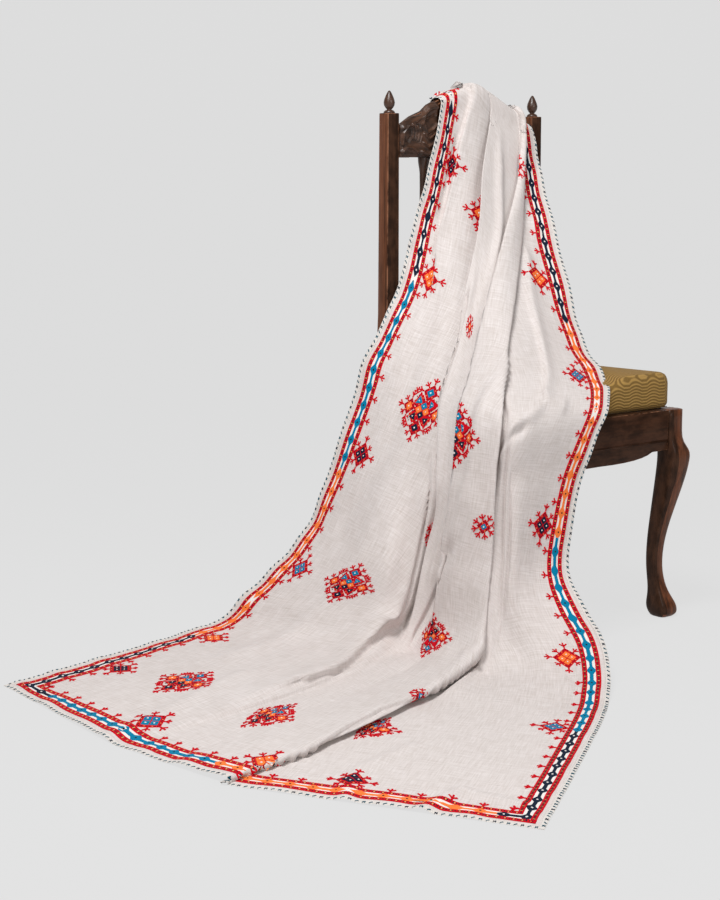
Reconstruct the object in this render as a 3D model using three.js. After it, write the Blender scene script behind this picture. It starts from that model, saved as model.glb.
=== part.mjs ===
// An embroidered wool shawl draped over the back of a carved side chair and trailing on the floor.
// Millimetres, +Z up. The chair faces -Y and its back posts stand at +Y; the sitter's left is +X.
import * as THREE from 'three';

// ---------- driving sizes ----------
const shawl = {
  width: 1200,        // across the cloth, from the left edge to the right edge
  wall: 1.5,          // the cloth, as a rigid wall
  border: 75,         // plain margin and embroidered band
  edging: 5,          // crocheted edging, across
  seam: 0.7,          // air between pieces that meet
  backDropLeft: 380,  // what hangs behind the crest rail, at the left edge
  backDropRight: 60,  // and at the right edge
  backFan: 275,       // how wide the back drop opens, at its hem
  backWave: 20,       // how far its waves stand out
};

const chair = {
  postTop: 1024,
  postSize: 29,
  postSeat: 36,
  postFoot: 32,
  postX: 197,
  postY: 200,
  footRake: 55,
  railX: 182,
  crestFront: 187,
  crestDepth: 26,
  crestSoftening: 6,
  crestBottom: 936,
  seatTop: 434,
  seatBottom: 372,
  seatFrontX: 239,
  seatFrontY: -218.6,
  seatBackX: 212,
  seatRail: 28,
  apron: 34,
  legBlock: 44,
  cushionInset: 24,
  cushionTop: 487,
  gap: 0.35,
};

const colours = {
  cloth: 0xd9d2c8,
  edging: 0x2c6478,
  wood: 0x3a2a20,
  cushion: 0x94783c,
};

// ---------- small helpers ----------
const vec = (x, y, z) => new THREE.Vector3(x, y, z);
const mix = (a, b, f) => a.clone().lerp(b, f);
const toward = (from, to, distance) => {
  const run = to.clone().sub(from).normalize();
  return from.clone().addScaledVector(run, distance);
};

function cubic(a, b, c, d, t) {
  const rise = (c - a) / 2;
  const fall = (d - b) / 2;
  const t2 = t * t;
  const t3 = t2 * t;
  return (2 * t3 - 3 * t2 + 1) * b + (t3 - 2 * t2 + t) * rise + (3 * t2 - 2 * t3) * c + (t3 - t2) * fall;
}

// A smooth value through a list of numbers, at a place between 0 and the last index.
function through(values, place) {
  const last = values.length - 1;
  const i = Math.min(Math.floor(place), last - 1);
  const at = (n) => {
    if (n < 0) return 2 * values[0] - values[1];
    if (n > last) return 2 * values[last] - values[last - 1];
    return values[n];
  };
  return cubic(at(i - 1), at(i), at(i + 1), at(i + 2), place - i);
}

const pointThrough = (points, place) => vec(
  through(points.map((p) => p.x), place),
  through(points.map((p) => p.y), place),
  through(points.map((p) => p.z), place),
);

function solidFrom(positions, faces) {
  const geometry = new THREE.BufferGeometry();
  const numbers = positions.flatMap((p) => p.toArray());
  geometry.setAttribute('position', new THREE.Float32BufferAttribute(numbers, 3));
  geometry.setIndex(faces.flat());
  geometry.computeVertexNormals();
  return geometry;
}

// A closed solid through rings of points that all run the same way round; both ends are capped.
function loft(rings) {
  const count = rings[0].length;
  const points = rings.flat();
  const faces = [];
  for (let r = 0; r < rings.length - 1; r += 1) {
    for (let i = 0; i < count; i += 1) {
      const j = (i + 1) % count;
      const a = r * count + i;
      const b = r * count + j;
      faces.push([a, b, b + count], [a, b + count, a + count]);
    }
  }
  const lastRing = (rings.length - 1) * count;
  for (let i = 1; i < count - 1; i += 1) {
    faces.push([0, i + 1, i], [lastRing, lastRing + i, lastRing + i + 1]);
  }
  return solidFrom(points, faces);
}

// ---------- chair ----------
// The arched top of the crest rail, above its two shoulders.
const archSteps = [
  { x: 0, z: 1074 },
  { x: 24, z: 1072 },
  { x: 48, z: 1065 },
  { x: 78, z: 1051 },
  { x: 97, z: 1043 },
  { x: 113, z: 1030 },
  { x: 142, z: 1019 },
  { x: 168, z: 1003 },
  { x: 182, z: 998 },
];

function archTop(x) {
  const d = Math.min(Math.abs(x), chair.railX - 0.01);
  const i = archSteps.findIndex((s) => s.x > d);
  const a = archSteps[i - 1];
  const b = archSteps[i];
  return a.z + ((b.z - a.z) * (d - a.x)) / (b.x - a.x);
}

const square = (cx, cy, z, half) => [
  vec(cx - half, cy - half, z),
  vec(cx + half, cy - half, z),
  vec(cx + half, cy + half, z),
  vec(cx - half, cy + half, z),
];

// A square with softened corners: reach is how far a corner stands out, as a share of half a side.
function roundedRing(cx, cy, z, half, reach = 1.2) {
  const ring = [];
  const flat = 0.55;
  [0, 1, 2, 3].forEach((quarter) => {
    const turn = (quarter * Math.PI) / 2;
    const corner = [[1, -flat], [1, flat], [reach * Math.SQRT1_2, reach * Math.SQRT1_2]];
    corner.forEach(([x, y]) => {
      ring.push(vec(
        cx + half * (x * Math.cos(turn) - y * Math.sin(turn)),
        cy + half * (x * Math.sin(turn) + y * Math.cos(turn)),
        z,
      ));
    });
  });
  return ring;
}

function backPost(side) {
  const stations = [
    { z: 0, size: chair.postFoot, back: chair.footRake },
    { z: 180, size: 34, back: 24 },
    { z: chair.seatBottom - 20, size: chair.postSeat, back: 2 },
    { z: chair.seatTop + 30, size: chair.postSeat, back: 0 },
    { z: 620, size: 31, back: 0 },
    { z: chair.postTop, size: chair.postSize, back: 0 },
  ];
  const inner = chair.postX - chair.postSize / 2;
  return loft(stations.map(({ z, size, back }) => {
    const half = size / 2;
    return square(side * (inner + half), chair.postY + back, z, half);
  }));
}

function finial() {
  const profile = [
    [0, 0], [11.5, 0], [11.5, 5], [8, 7], [9, 12], [11.7, 20], [9.5, 29], [4.5, 38], [2.5, 43], [0, 44.5],
  ].map(([r, z]) => new THREE.Vector2(r, z));
  return new THREE.LatheGeometry(profile, 16).rotateX(Math.PI / 2);
}

// The crest rail's lower edge is cut away a little above its ends, where the spindles meet it.
const spindleTop = chair.crestBottom + 9;

function crestRail() {
  const outline = new THREE.Shape();
  const end = chair.railX;
  const relief = { outer: 150, inner: 138 };
  outline.moveTo(-end, chair.crestBottom);
  outline.lineTo(-relief.outer, chair.crestBottom);
  outline.lineTo(-relief.inner, spindleTop);
  outline.lineTo(relief.inner, spindleTop);
  outline.lineTo(relief.outer, chair.crestBottom);
  outline.lineTo(end, chair.crestBottom);
  const right = archSteps.slice().reverse();
  right.forEach((s) => outline.lineTo(s.x, s.z));
  archSteps.slice(1).forEach((s) => outline.lineTo(-s.x, s.z));
  const soft = chair.crestSoftening;
  const rail = new THREE.ExtrudeGeometry(outline, {
    depth: chair.crestDepth - 2 * soft,
    bevelThickness: soft,
    bevelSize: soft,
    bevelOffset: -soft,
    bevelSegments: 1,
  });
  return rail.rotateX(Math.PI / 2).translate(0, chair.crestFront + chair.crestDepth - soft, 0);
}

function spindle(bottom, top) {
  const height = top - bottom;
  const profile = [
    [0, 0], [9, 0], [9, 0.03], [6, 0.05], [8.5, 0.35], [7, 0.6],
    [6, 0.88], [8, 0.91], [11, 0.95], [11, 1], [0, 1],
  ].map(([r, f]) => new THREE.Vector2(r, f * height));
  return new THREE.LatheGeometry(profile, 12).rotateX(Math.PI / 2);
}

function boxBetween(x0, x1, y0, y1, z0, z1) {
  return new THREE.BoxGeometry(x1 - x0, y1 - y0, z1 - z0)
    .translate((x0 + x1) / 2, (y0 + y1) / 2, (z0 + z1) / 2);
}

const railSetBack = 4; // how far the seat rails lie back from the legs' faces

// The front rail's lower edge sweeps down from the legs to a shallow middle.
function frontRail() {
  const half = chair.seatFrontX - chair.legBlock - chair.gap;
  const shoulder = { width: 45, level: chair.seatBottom - 20 };
  const sweep = { width: 75, level: chair.seatBottom - chair.apron - 3 };
  const middle = chair.seatBottom - chair.apron;
  const outline = new THREE.Shape();
  outline.moveTo(-half, chair.seatTop);
  outline.lineTo(-half, shoulder.level + 1);
  outline.lineTo(-half + shoulder.width, shoulder.level);
  outline.quadraticCurveTo(-half + sweep.width, sweep.level, 0, middle);
  outline.quadraticCurveTo(half - sweep.width, sweep.level, half - shoulder.width, shoulder.level);
  outline.lineTo(half, shoulder.level + 1);
  outline.lineTo(half, chair.seatTop);
  const cut = { depth: chair.seatRail, bevelEnabled: false, curveSegments: 6 };
  const rail = new THREE.ExtrudeGeometry(outline, cut);
  return rail.rotateX(Math.PI / 2).translate(0, chair.seatFrontY + chair.seatRail + railSetBack, 0);
}

const railBottom = chair.seatBottom - 14; // of the side and back rails

function sideRail(side) {
  const front = chair.seatFrontY + chair.legBlock + chair.gap;
  const back = chair.postY - chair.postSeat / 2 - chair.gap;
  const run = (back - front) / (chair.postY - chair.seatFrontY);
  const outerFront = chair.seatFrontX - railSetBack;
  const outerBack = outerFront - (chair.seatFrontX - chair.seatBackX) * run;
  const ring = (z) => [
    vec(side * outerFront, front, z),
    vec(side * outerBack, back, z),
    vec(side * (outerBack - chair.seatRail), back, z),
    vec(side * (outerFront - chair.seatRail), front, z),
  ];
  const rings = [ring(railBottom), ring(chair.seatTop)];
  return loft(side > 0 ? rings : rings.map((r) => r.slice().reverse()));
}

function cabrioleLeg(side) {
  // out: how far the middle of the section stands out from the block's middle, on the diagonal
  const stations = [
    { z: 0, out: -4, half: 18 },
    { z: 8, out: -3, half: 25 },
    { z: 22, out: -5, half: 27 },
    { z: 34, out: -8, half: 24 },
    { z: 60, out: -15, half: 15 },
    { z: 105, out: -24, half: 13.5 },
    { z: 160, out: -21, half: 15 },
    { z: 210, out: -12, half: 18.5 },
    { z: 260, out: -1, half: 23 },
    { z: 310, out: 9, half: 27 },
    { z: 345, out: 12, half: 28 },
    { z: chair.seatBottom, out: 0, half: chair.legBlock / 2 },
    { z: chair.seatTop, out: 0, half: chair.legBlock / 2 },
  ];
  const blockX = chair.seatFrontX - chair.legBlock / 2;
  const blockY = chair.seatFrontY + chair.legBlock / 2;
  return loft(stations.map((s) => {
    const shift = s.out * Math.SQRT1_2;
    return roundedRing(side * (blockX + shift), blockY - shift, s.z, s.half);
  }));
}

function cushion() {
  const front = chair.seatFrontX - chair.cushionInset;
  const back = chair.seatBackX - chair.cushionInset - 10;
  const near = chair.seatFrontY + chair.cushionInset;
  const far = chair.postY - chair.postSeat / 2 - 8;
  const middle = (near + far) / 2;
  const levels = [
    { z: chair.seatTop + chair.gap, shrink: 0.985 },
    { z: chair.seatTop + 16, shrink: 1 },
    { z: chair.cushionTop - 16, shrink: 0.985 },
    { z: chair.cushionTop - 7, shrink: 0.92 },
    { z: chair.cushionTop - 2, shrink: 0.6 },
    { z: chair.cushionTop, shrink: 0.2 },
  ];
  const cut = 0.9;
  const corner = 20;
  return loft(levels.map(({ z, shrink }) => {
    const at = (x, y) => vec(x * shrink, middle + (y - middle) * shrink, z);
    return [
      at(-front * cut, near), at(0, near), at(front * cut, near), at(front, near + corner),
      at((front + back) / 2, middle), at(back, far - corner),
      at(back * cut, far), at(0, far), at(-back * cut, far), at(-back, far - corner),
      at(-(front + back) / 2, middle), at(-front, near + corner),
    ];
  }));
}

// ---------- shawl ----------
// Sections across the cloth, from the front of the crest rail down to the front hem. Each gives the
// places of the left edge, the floor ridge, the valley beside it, the edges of the three pleats, the
// foot where the right panel comes out from under the outer pleat, and the right edge.
// tuck: how far the cloth turns back under the middle and outer pleats.
const sections = [
  { left: [-74, 180, 1026], ridge: [92, 184, 1008], valley: [118, 181, 1002], inner: [50, 172, 1016],
    middle: [132, 168, 996], outer: [144, 163, 990], foot: [112, 180, 976], right: [182, 177, 970],
    tuckMiddle: 8, tuckOuter: 8 },
  { left: [-108, 177, 905], ridge: [40, 154, 900], valley: [70, 148, 896], inner: [-5, 132, 908],
    middle: [93, 132, 893], outer: [113, 133, 884], foot: [72, 158, 886], right: [180, 158, 905],
    tuckMiddle: 14, tuckOuter: 12 },
  { left: [-148, 176, 793], ridge: [-18, 116, 790], valley: [5, 98, 786], inner: [-45, 98, 793],
    middle: [2, 72, 782], outer: [67, 86, 780], foot: [26, 112, 782], right: [153, 86, 790],
    tuckMiddle: 30, tuckOuter: 22 },
  { left: [-186, 173, 680], ridge: [-97, 75, 668], valley: [-78, 45, 666], inner: [-112, 62, 668],
    middle: [-88, 18, 672], outer: [-28, 0, 668], foot: [-38, 28, 668], right: [122, 5, 665],
    tuckMiddle: 28, tuckOuter: 16 },
  { left: [-238, 182, 578], ridge: [-152, 25, 568], valley: [-155, -15, 566], inner: [-170, 22, 562],
    middle: [-178, -40, 565], outer: [-138, -98, 572], foot: [-126, -84, 568], right: [97, -62, 566],
    tuckMiddle: 34, tuckOuter: 36 },
  { left: [-263, 196, 522], ridge: [-195, 3, 516], valley: [-203, -38, 514], inner: [-212, 2, 513],
    middle: [-226, -78, 518], outer: [-200, -158, 522], foot: [-186, -152, 512], right: [62, -160, 500],
    tuckMiddle: 38, tuckOuter: 40 },
  { left: [-282, 203, 455], ridge: [-246, -14, 448], valley: [-251, -64, 446], inner: [-256, -24, 444],
    middle: [-282, -112, 458], outer: [-270, -226, 462], foot: [-250, -236, 452], right: [-22, -246, 454],
    tuckMiddle: 40, tuckOuter: 44 },
  { left: [-325, 216, 330], ridge: [-308, 4, 335], valley: [-284, -44, 330], inner: [-292, -40, 330],
    middle: [-300, -116, 330], outer: [-286, -228, 345], foot: [-260, -242, 340], right: [-92, -252, 330],
    tuckMiddle: 34, tuckOuter: 44 },
  { left: [-395, 242, 167], ridge: [-382, -26, 174], valley: [-334, -40, 138], inner: [-314, -62, 160],
    middle: [-308, -92, 165], outer: [-292, -222, 165], foot: [-268, -248, 165], right: [-142, -272, 162],
    tuckMiddle: 12, tuckOuter: 40 },
  { left: [-582, 304, 0], ridge: [-430, -32, 46], valley: [-390, -58, 14], inner: [-366, -78, 8],
    middle: [-344, -104, 10], outer: [-350, -250, 34], foot: [-338, -268, 6], right: [-196, -420, 58],
    tuckMiddle: -12, tuckOuter: 28 },
  { left: [-705, 272, 0], ridge: [-580, -110, 34], valley: [-577, -140, 2], inner: [-566, -168, 0],
    middle: [-556, -204, 0], outer: [-542, -334, 29], foot: [-538, -348, 1], right: [-325, -552, 0],
    tuckMiddle: -16, tuckOuter: 30 },
  { left: [-885, 232, 0], ridge: [-802, -162, 24], valley: [-798, -190, 1], inner: [-795, -220, 0],
    middle: [-790, -256, 0], outer: [-772, -410, 24], foot: [-768, -426, 0], right: [-560, -722, 0],
    tuckMiddle: -16, tuckOuter: 26 },
  { left: [-1077, 189, 0], ridge: [-1082, -190, 5], valley: [-1078, -228, 0], inner: [-1070, -270, 0],
    middle: [-1062, -320, 0], outer: [-1036, -462, 18], foot: [-1032, -480, 0], right: [-791, -881, 0],
    tuckMiddle: -18, tuckOuter: 20 },
];

// Lines that run the length of the cloth, by their distance from the left edge.
// steps: how many strips lie between a line and the next one.
const lines = [
  { name: 'left', across: 0, steps: 2 },
  { name: 'leftBand', across: shawl.border, steps: 2 },
  { name: 'panel', across: 240, steps: 3 },
  { name: 'ridge', across: 370, steps: 3 },
  { name: 'valley', across: 410, steps: 3 },
  { name: 'inner', across: 450, steps: 3 },
  { name: 'underMiddle', across: 485, steps: 3 },
  { name: 'middle', across: 520, steps: 3 },
  { name: 'crown', across: 605, steps: 3 },
  { name: 'outer', across: 690, steps: 3 },
  { name: 'underOuter', across: 755, steps: 3 },
  { name: 'foot', across: 800, steps: 2 },
  { name: 'rightPanel', across: 950, steps: 3 },
  { name: 'rightBand', across: shawl.width - shawl.border, steps: 1 },
  { name: 'right', across: shawl.width, steps: 0 },
];

const crownRise = 9;       // how far the middle of a pleat stands out from its sides
const panelRise = 6;
const underMiddleDrop = 6; // how deep the turn under the middle pleat lies
const bandSqueeze = 0.8;   // the band at its narrowest, where the cloth is gathered

// The points of one section, a point for each line.
function sectionPoints(section, next) {
  const p = Object.fromEntries(Object.entries(section)
    .filter(([, value]) => Array.isArray(value))
    .map(([name, value]) => [name, vec(...value)]));
  const below = vec(...next.inner).sub(p.inner);
  const across = p.right.clone().sub(p.left);
  const out = below.clone().cross(across).normalize();
  const under = (point, depth) => point.clone().addScaledVector(out, -depth);
  const pleatRun = p.outer.clone().sub(p.middle).normalize();
  const gathered = Math.max(0, 1 - p.left.distanceTo(p.ridge) / 400);
  const bandWidth = shawl.border * (1 - (1 - bandSqueeze) * Math.min(1, gathered * 2));
  p.leftBand = toward(p.left, p.ridge, bandWidth);
  p.panel = mix(p.left, p.ridge, 0.6 + 0.12 * gathered).addScaledVector(out, panelRise);
  p.underMiddle = under(p.middle.clone().addScaledVector(pleatRun, section.tuckMiddle), underMiddleDrop);
  p.crown = mix(p.middle, p.outer, 0.5).addScaledVector(out, crownRise);
  p.underOuter = mix(p.outer, p.foot, 0.6).addScaledVector(pleatRun, -section.tuckOuter);
  p.rightBand = toward(p.right, p.foot, Math.min(bandWidth, p.right.distanceTo(p.foot) * 0.8));
  p.rightPanel = mix(p.foot, p.rightBand, 0.55).addScaledVector(out, panelRise);
  return lines.map((line) => p[line.name]);
}

// Over the crest rail the pleats keep the places that they have at its front, and behind it they open.
function crestPoints(front, { y, open, layers, height }) {
  const middleX = 50;
  return front.map((point, i) => {
    const layer = Math.max(0, 181 - point.y);
    const across = lines[i].across / shawl.width;
    const pleated = middleX + (Math.min(point.x, 176) - middleX) * 0.97;
    const fanned = middleX + 12 + (across - 0.5) * shawl.backFan;
    const x = pleated + (fanned - pleated) * open;
    const wave = shawl.backWave * open * Math.sin(across * 7 * Math.PI);
    return vec(x, y + layers.y * layer + wave, height(x, across) + layers.z * layer);
  });
}

const dropAt = (across) => shawl.backDropLeft + (shawl.backDropRight - shawl.backDropLeft) * across;
const clear = 4.0;          // from the rail to the middle of the wall that rests on it
const backTop = 1020;
const frontY = chair.crestFront - 6;
const backY = chair.crestFront + chair.crestDepth + 5;
const front = sections.map((section, i) => {
  const next = sections[i + 1] ?? { inner: section.inner.map((v, k) => 2 * v - sections[i - 1].inner[k]) };
  return sectionPoints(section, next);
});
const crestRows = [
  { y: backY + 34, open: 1, layers: { y: 0.2, z: 0 }, height: (x, across) => backTop - dropAt(across) },
  { y: backY + 20, open: 0.6, layers: { y: 0.5, z: 0 }, height: (x, across) => backTop - dropAt(across) / 2 },
  { y: backY, open: 0, layers: { y: 1, z: 0 }, height: (x) => archTop(x) - 16 },
  { y: backY - 5, open: 0, layers: { y: 0.7, z: 0.7 }, height: (x) => archTop(x) - 2 },
  { y: chair.postY, open: 0, layers: { y: 0, z: 1 }, height: (x) => archTop(x) + clear },
  { y: frontY + 2, open: 0, layers: { y: -0.7, z: 0.7 }, height: (x) => archTop(x) - 2 },
];
const rows = [
  ...crestRows.map((shape) => crestPoints(front[0], shape)),
  ...front,
];
const crestRow = 4; // the row that lies along the top of the crest rail
const lastRow = rows.length - 1;
const floorLevel = shawl.wall / 2 + 0.05;

// The lowest that the cloth can lie where it crosses the crest rail, with its softened top edges.
function restHeight(point) {
  const fromMiddle = Math.abs(point.y - chair.postY);
  const half = chair.crestDepth / 2;
  if (fromMiddle > half + clear || Math.abs(point.x) > chair.railX) return 0;
  return archTop(point.x) + clear - Math.max(0, fromMiddle - half + chair.crestSoftening);
}

function clothPoint(line, row) {
  const point = pointThrough(lines.map((_, i) => pointThrough(rows.map((r) => r[i]), row)), line);
  point.z = Math.max(point.z, floorLevel, restHeight(point));
  return point;
}

const lastLine = lines.length - 1;
const step = 0.02;
const straightDown = () => vec(0, 0, -1);
const downRun = (line, row) => clothPoint(line, Math.min(row + step, lastRow))
  .sub(clothPoint(line, Math.max(row - step, 0)));
const acrossRun = (line, row) => clothPoint(Math.min(line + step, lastLine), row)
  .sub(clothPoint(Math.max(line - step, 0), row));
const clothNormal = (line, row) => downRun(line, row).cross(acrossRun(line, row)).normalize();

// The wall through a grid of places on the cloth.
function clothSolid(linePlaces, rowPlaces) {
  const half = shawl.wall / 2;
  const outside = [];
  const inside = [];
  rowPlaces.forEach((row) => linePlaces.forEach((line) => {
    const point = clothPoint(line, row);
    const normal = clothNormal(line, row);
    outside.push(point.clone().addScaledVector(normal, half));
    const back = point.clone().addScaledVector(normal, -half);
    back.z = Math.max(back.z, 0.05);
    inside.push(back);
  }));
  const wide = linePlaces.length;
  const high = rowPlaces.length;
  const total = outside.length;
  const faces = [];
  const quad = (a, b, c, d) => faces.push([a, b, c], [a, c, d]);
  for (let j = 0; j < high - 1; j += 1) {
    for (let i = 0; i < wide - 1; i += 1) {
      const a = j * wide + i;
      quad(a, a + wide, a + wide + 1, a + 1);
      quad(total + a, total + a + 1, total + a + wide + 1, total + a + wide);
    }
  }
  for (let i = 0; i < wide - 1; i += 1) {
    const end = (high - 1) * wide + i;
    quad(i, i + 1, total + i + 1, total + i);
    quad(end + 1, end, total + end, total + end + 1);
  }
  for (let j = 0; j < high - 1; j += 1) {
    const a = j * wide;
    const b = a + wide - 1;
    quad(a + wide, a, total + a, total + a + wide);
    quad(b, b + wide, total + b + wide, total + b);
  }
  return solidFrom([...outside, ...inside], faces);
}

function placesBetween(from, to, perStep) {
  const places = [];
  const count = Math.max(1, Math.round((to - from) * perStep));
  for (let i = 0; i <= count; i += 1) places.push(from + ((to - from) * i) / count);
  return places;
}

const linePlaces = [0];
lines.slice(0, -1).forEach((line, i) => {
  for (let n = 1; n <= line.steps; n += 1) linePlaces.push(i + n / line.steps);
});

// Half a seam, as a share of the distance between two rows.
function seamShare(row) {
  const near = 0.2;
  const reach = lines.map((_, line) => {
    const before = clothPoint(line, row - near);
    return before.distanceTo(clothPoint(line, row + near)) / (2 * near);
  });
  return shawl.seam / 2 / Math.min(...reach);
}

const stretches = [
  { name: 'shawl_back_drop', from: 0, to: crestRow, perRow: 2 },
  { name: 'shawl_crest_fall', from: crestRow, to: 9, perRow: 2.4 },
  { name: 'shawl_seat_fall', from: 9, to: 11.7, perRow: 3 },
  { name: 'shawl_leg_fall', from: 11.7, to: 15.4, perRow: 3 },
  { name: 'shawl_train', from: 15.4, to: lastRow, perRow: 3 },
];

// The edging runs along one side of the cloth, just clear of it.
function edgingSolid(places, awayAt, reversed) {
  const half = shawl.wall / 2;
  return loft(places.map(({ line, row }) => {
    const edge = clothPoint(line, row);
    const normal = clothNormal(line, row);
    const away = awayAt(line, row, normal);
    const near = edge.clone().addScaledVector(away, shawl.seam);
    const far = edge.clone().addScaledVector(away, shawl.seam + shawl.edging);
    const ring = [
      near.clone().addScaledVector(normal, half),
      near.clone().addScaledVector(normal, -half),
      far.clone().addScaledVector(normal, -half),
      far.clone().addScaledVector(normal, half),
    ];
    ring.forEach((p) => { p.z = Math.max(p.z, 0.05); });
    return reversed ? ring.reverse() : ring;
  }));
}

// ---------- assembly ----------
const model = new THREE.Group();

function add(name, geometry, colour, roughness, place = [0, 0, 0]) {
  const material = new THREE.MeshStandardMaterial({ color: colour, roughness, metalness: 0 });
  const mesh = new THREE.Mesh(geometry, material);
  mesh.name = name;
  mesh.position.set(...place);
  model.add(mesh);
}

const sideRows = [];
stretches.forEach(({ name, from, to, perRow }) => {
  const start = from === 0 ? 0 : from + seamShare(from);
  const end = to === lastRow ? lastRow : to - seamShare(to);
  const rowPlaces = placesBetween(start, end, perRow);
  sideRows.push(...rowPlaces);
  add(name, clothSolid(linePlaces, rowPlaces), colours.cloth, 0.9);
});

function outFrom(runAt, sign) {
  return (line, row, normal) => runAt(line, row).normalize().cross(normal).multiplyScalar(sign);
}
const alongSide = (line) => sideRows.map((row) => ({ line, row }));
const alongHem = (row) => linePlaces.map((line) => ({ line, row }));
const edgings = [
  { name: 'edging_left', places: alongSide(0), away: outFrom(downRun, 1), reversed: true },
  { name: 'edging_right', places: alongSide(lastLine), away: outFrom(downRun, -1), reversed: false },
  { name: 'edging_back_hem', places: alongHem(0), away: straightDown, reversed: false },
  { name: 'edging_front_hem', places: alongHem(lastRow), away: outFrom(acrossRun, 1), reversed: true },
];
edgings.forEach(({ name, places, away, reversed }) => {
  add(name, edgingSolid(places, away, reversed), colours.edging, 0.9);
});

const sides = [{ side: -1, name: 'right' }, { side: 1, name: 'left' }];
sides.forEach(({ side, name }) => {
  add(`back_post_${name}`, backPost(side), colours.wood, 0.45);
  add(`finial_${name}`, finial(), colours.wood, 0.4, [side * chair.postX, chair.postY, chair.postTop + 0.1]);
  add(`seat_rail_${name}`, sideRail(side), colours.wood, 0.45);
  add(`front_leg_${name}`, cabrioleLeg(side), colours.wood, 0.4);
});
add('crest_rail', crestRail(), colours.wood, 0.45);
const lowerRail = { bottom: 560, top: 598, half: 9 };
add('lower_back_rail', boxBetween(-chair.railX + 2, chair.railX - 2, chair.postY - lowerRail.half,
  chair.postY + lowerRail.half, lowerRail.bottom, lowerRail.top), colours.wood, 0.45);
const spindleStep = 72;
[-1.5, -0.5, 0.5, 1.5].forEach((n, i) => {
  const bottom = lowerRail.top + chair.gap;
  const top = spindleTop - chair.gap;
  add(`spindle_${i + 1}`, spindle(bottom, top), colours.wood, 0.45, [n * spindleStep, chair.postY, bottom]);
});
add('seat_rail_front', frontRail(), colours.wood, 0.45);
const backRailHalf = chair.postX - chair.postSize / 2 - chair.gap;
add('seat_rail_back', boxBetween(-backRailHalf, backRailHalf, chair.postY - chair.seatRail / 2,
  chair.postY + chair.seatRail / 2, railBottom, chair.seatTop), colours.wood, 0.45);
add('seat_cushion', cushion(), colours.cushion, 0.85);

model.updateMatrixWorld(true);
const box = new THREE.Box3().setFromObject(model);
model.position.set(-(box.min.x + box.max.x) / 2, -(box.min.y + box.max.y) / 2, -box.min.z);

export default model;
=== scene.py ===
import math

import bmesh
import bpy
import numpy as np
from mathutils import Matrix, Vector


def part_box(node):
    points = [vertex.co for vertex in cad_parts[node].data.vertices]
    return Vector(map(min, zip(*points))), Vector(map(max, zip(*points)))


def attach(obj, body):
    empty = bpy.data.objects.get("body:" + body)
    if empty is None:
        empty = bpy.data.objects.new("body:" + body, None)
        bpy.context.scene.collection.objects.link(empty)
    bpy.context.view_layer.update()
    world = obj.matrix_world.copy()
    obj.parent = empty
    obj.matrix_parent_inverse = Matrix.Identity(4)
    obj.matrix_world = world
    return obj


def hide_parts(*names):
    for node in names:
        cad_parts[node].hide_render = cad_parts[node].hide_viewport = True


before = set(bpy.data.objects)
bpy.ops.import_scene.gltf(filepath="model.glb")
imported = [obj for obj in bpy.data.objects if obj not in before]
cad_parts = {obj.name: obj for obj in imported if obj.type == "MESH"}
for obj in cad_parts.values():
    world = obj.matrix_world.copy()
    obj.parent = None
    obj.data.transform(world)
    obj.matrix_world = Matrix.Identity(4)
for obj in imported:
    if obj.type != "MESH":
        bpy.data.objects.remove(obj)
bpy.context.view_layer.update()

railLow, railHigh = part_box("crest_rail")
backPostY = 0.2                       # how far the back stands behind the middle of the chair
chairMiddle = Vector(((railLow.x + railHigh.x) / 2, (railLow.y + railHigh.y) / 2 - backPostY, 0))
chairShift = np.array(chairMiddle)


# helpers for objects and meshes
def addObject(name, data):
    made = bpy.data.objects.new(name, data)
    bpy.context.scene.collection.objects.link(made)
    return made


def newPiece(name, mesh, materials, replaced=()):
    piece = addObject(name, mesh)
    for material in materials:
        mesh.materials.append(material)
    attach(piece, "root")
    if replaced:
        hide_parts(*replaced)
    return piece


def meshFrom(bm, name, smooth=True):
    mesh = bpy.data.meshes.new(name)
    bm.to_mesh(mesh)
    bm.free()
    if smooth:
        mesh.shade_smooth()
    return mesh


def movedMesh(mesh, places):
    mesh.vertices.foreach_set("co", np.asarray(places, dtype=np.float32).ravel())
    mesh.update()


def meshPlaces(mesh):
    places = np.zeros(len(mesh.vertices) * 3, dtype=np.float32)
    mesh.vertices.foreach_get("co", places)
    return places.reshape(-1, 3).astype(float)


# how far places are from a broken line, and on which side of it; a yShare under 1 makes y count for less
def fromLine(x, y, points, yShare=1.0):
    nearest, beside = np.full(x.shape, 9.0), np.zeros(x.shape)
    for (ax, ay), (bx, by) in zip(points, points[1:]):
        runX, runY = bx - ax, by - ay
        share = np.clip(((x - ax) * runX + (y - ay) * runY) / (runX ** 2 + runY ** 2), 0, 1)
        offX, offY = x - ax - share * runX, (y - ay - share * runY) * yShare
        far = np.hypot(offX, offY)
        beside = np.where(far < nearest, np.sign(offX), beside)
        nearest = np.minimum(nearest, far)
    return nearest, beside


# helpers for materials: join links a socket to another, or sets a plain value on it
def join(tree, value, socket):
    if isinstance(value, bpy.types.NodeSocket):
        tree.links.new(value, socket)
    else:
        socket.default_value = value


def newMaterial(name, finish):
    material = bpy.data.materials.new(name)
    material.use_nodes = True
    shader = material.node_tree.nodes["Principled BSDF"]
    for socket, value in finish.items():
        shader.inputs[socket].default_value = value
    return material, material.node_tree, shader


def addNode(tree, kind, values=None, **settings):
    node = tree.nodes.new("ShaderNode" + kind)
    for setting, value in settings.items():
        setattr(node, setting, value)
    for socket, value in (values or {}).items():
        join(tree, value, node.inputs[socket])
    return node


def mixColours(tree, factor, first, second):
    return addNode(tree, "Mix", {0: factor, 6: first, 7: second}, data_type="RGBA").outputs[2]


def sums(tree, operation, first, second=0.0):
    return addNode(tree, "Math", {0: first, 1: second}, operation=operation).outputs[0]


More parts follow.
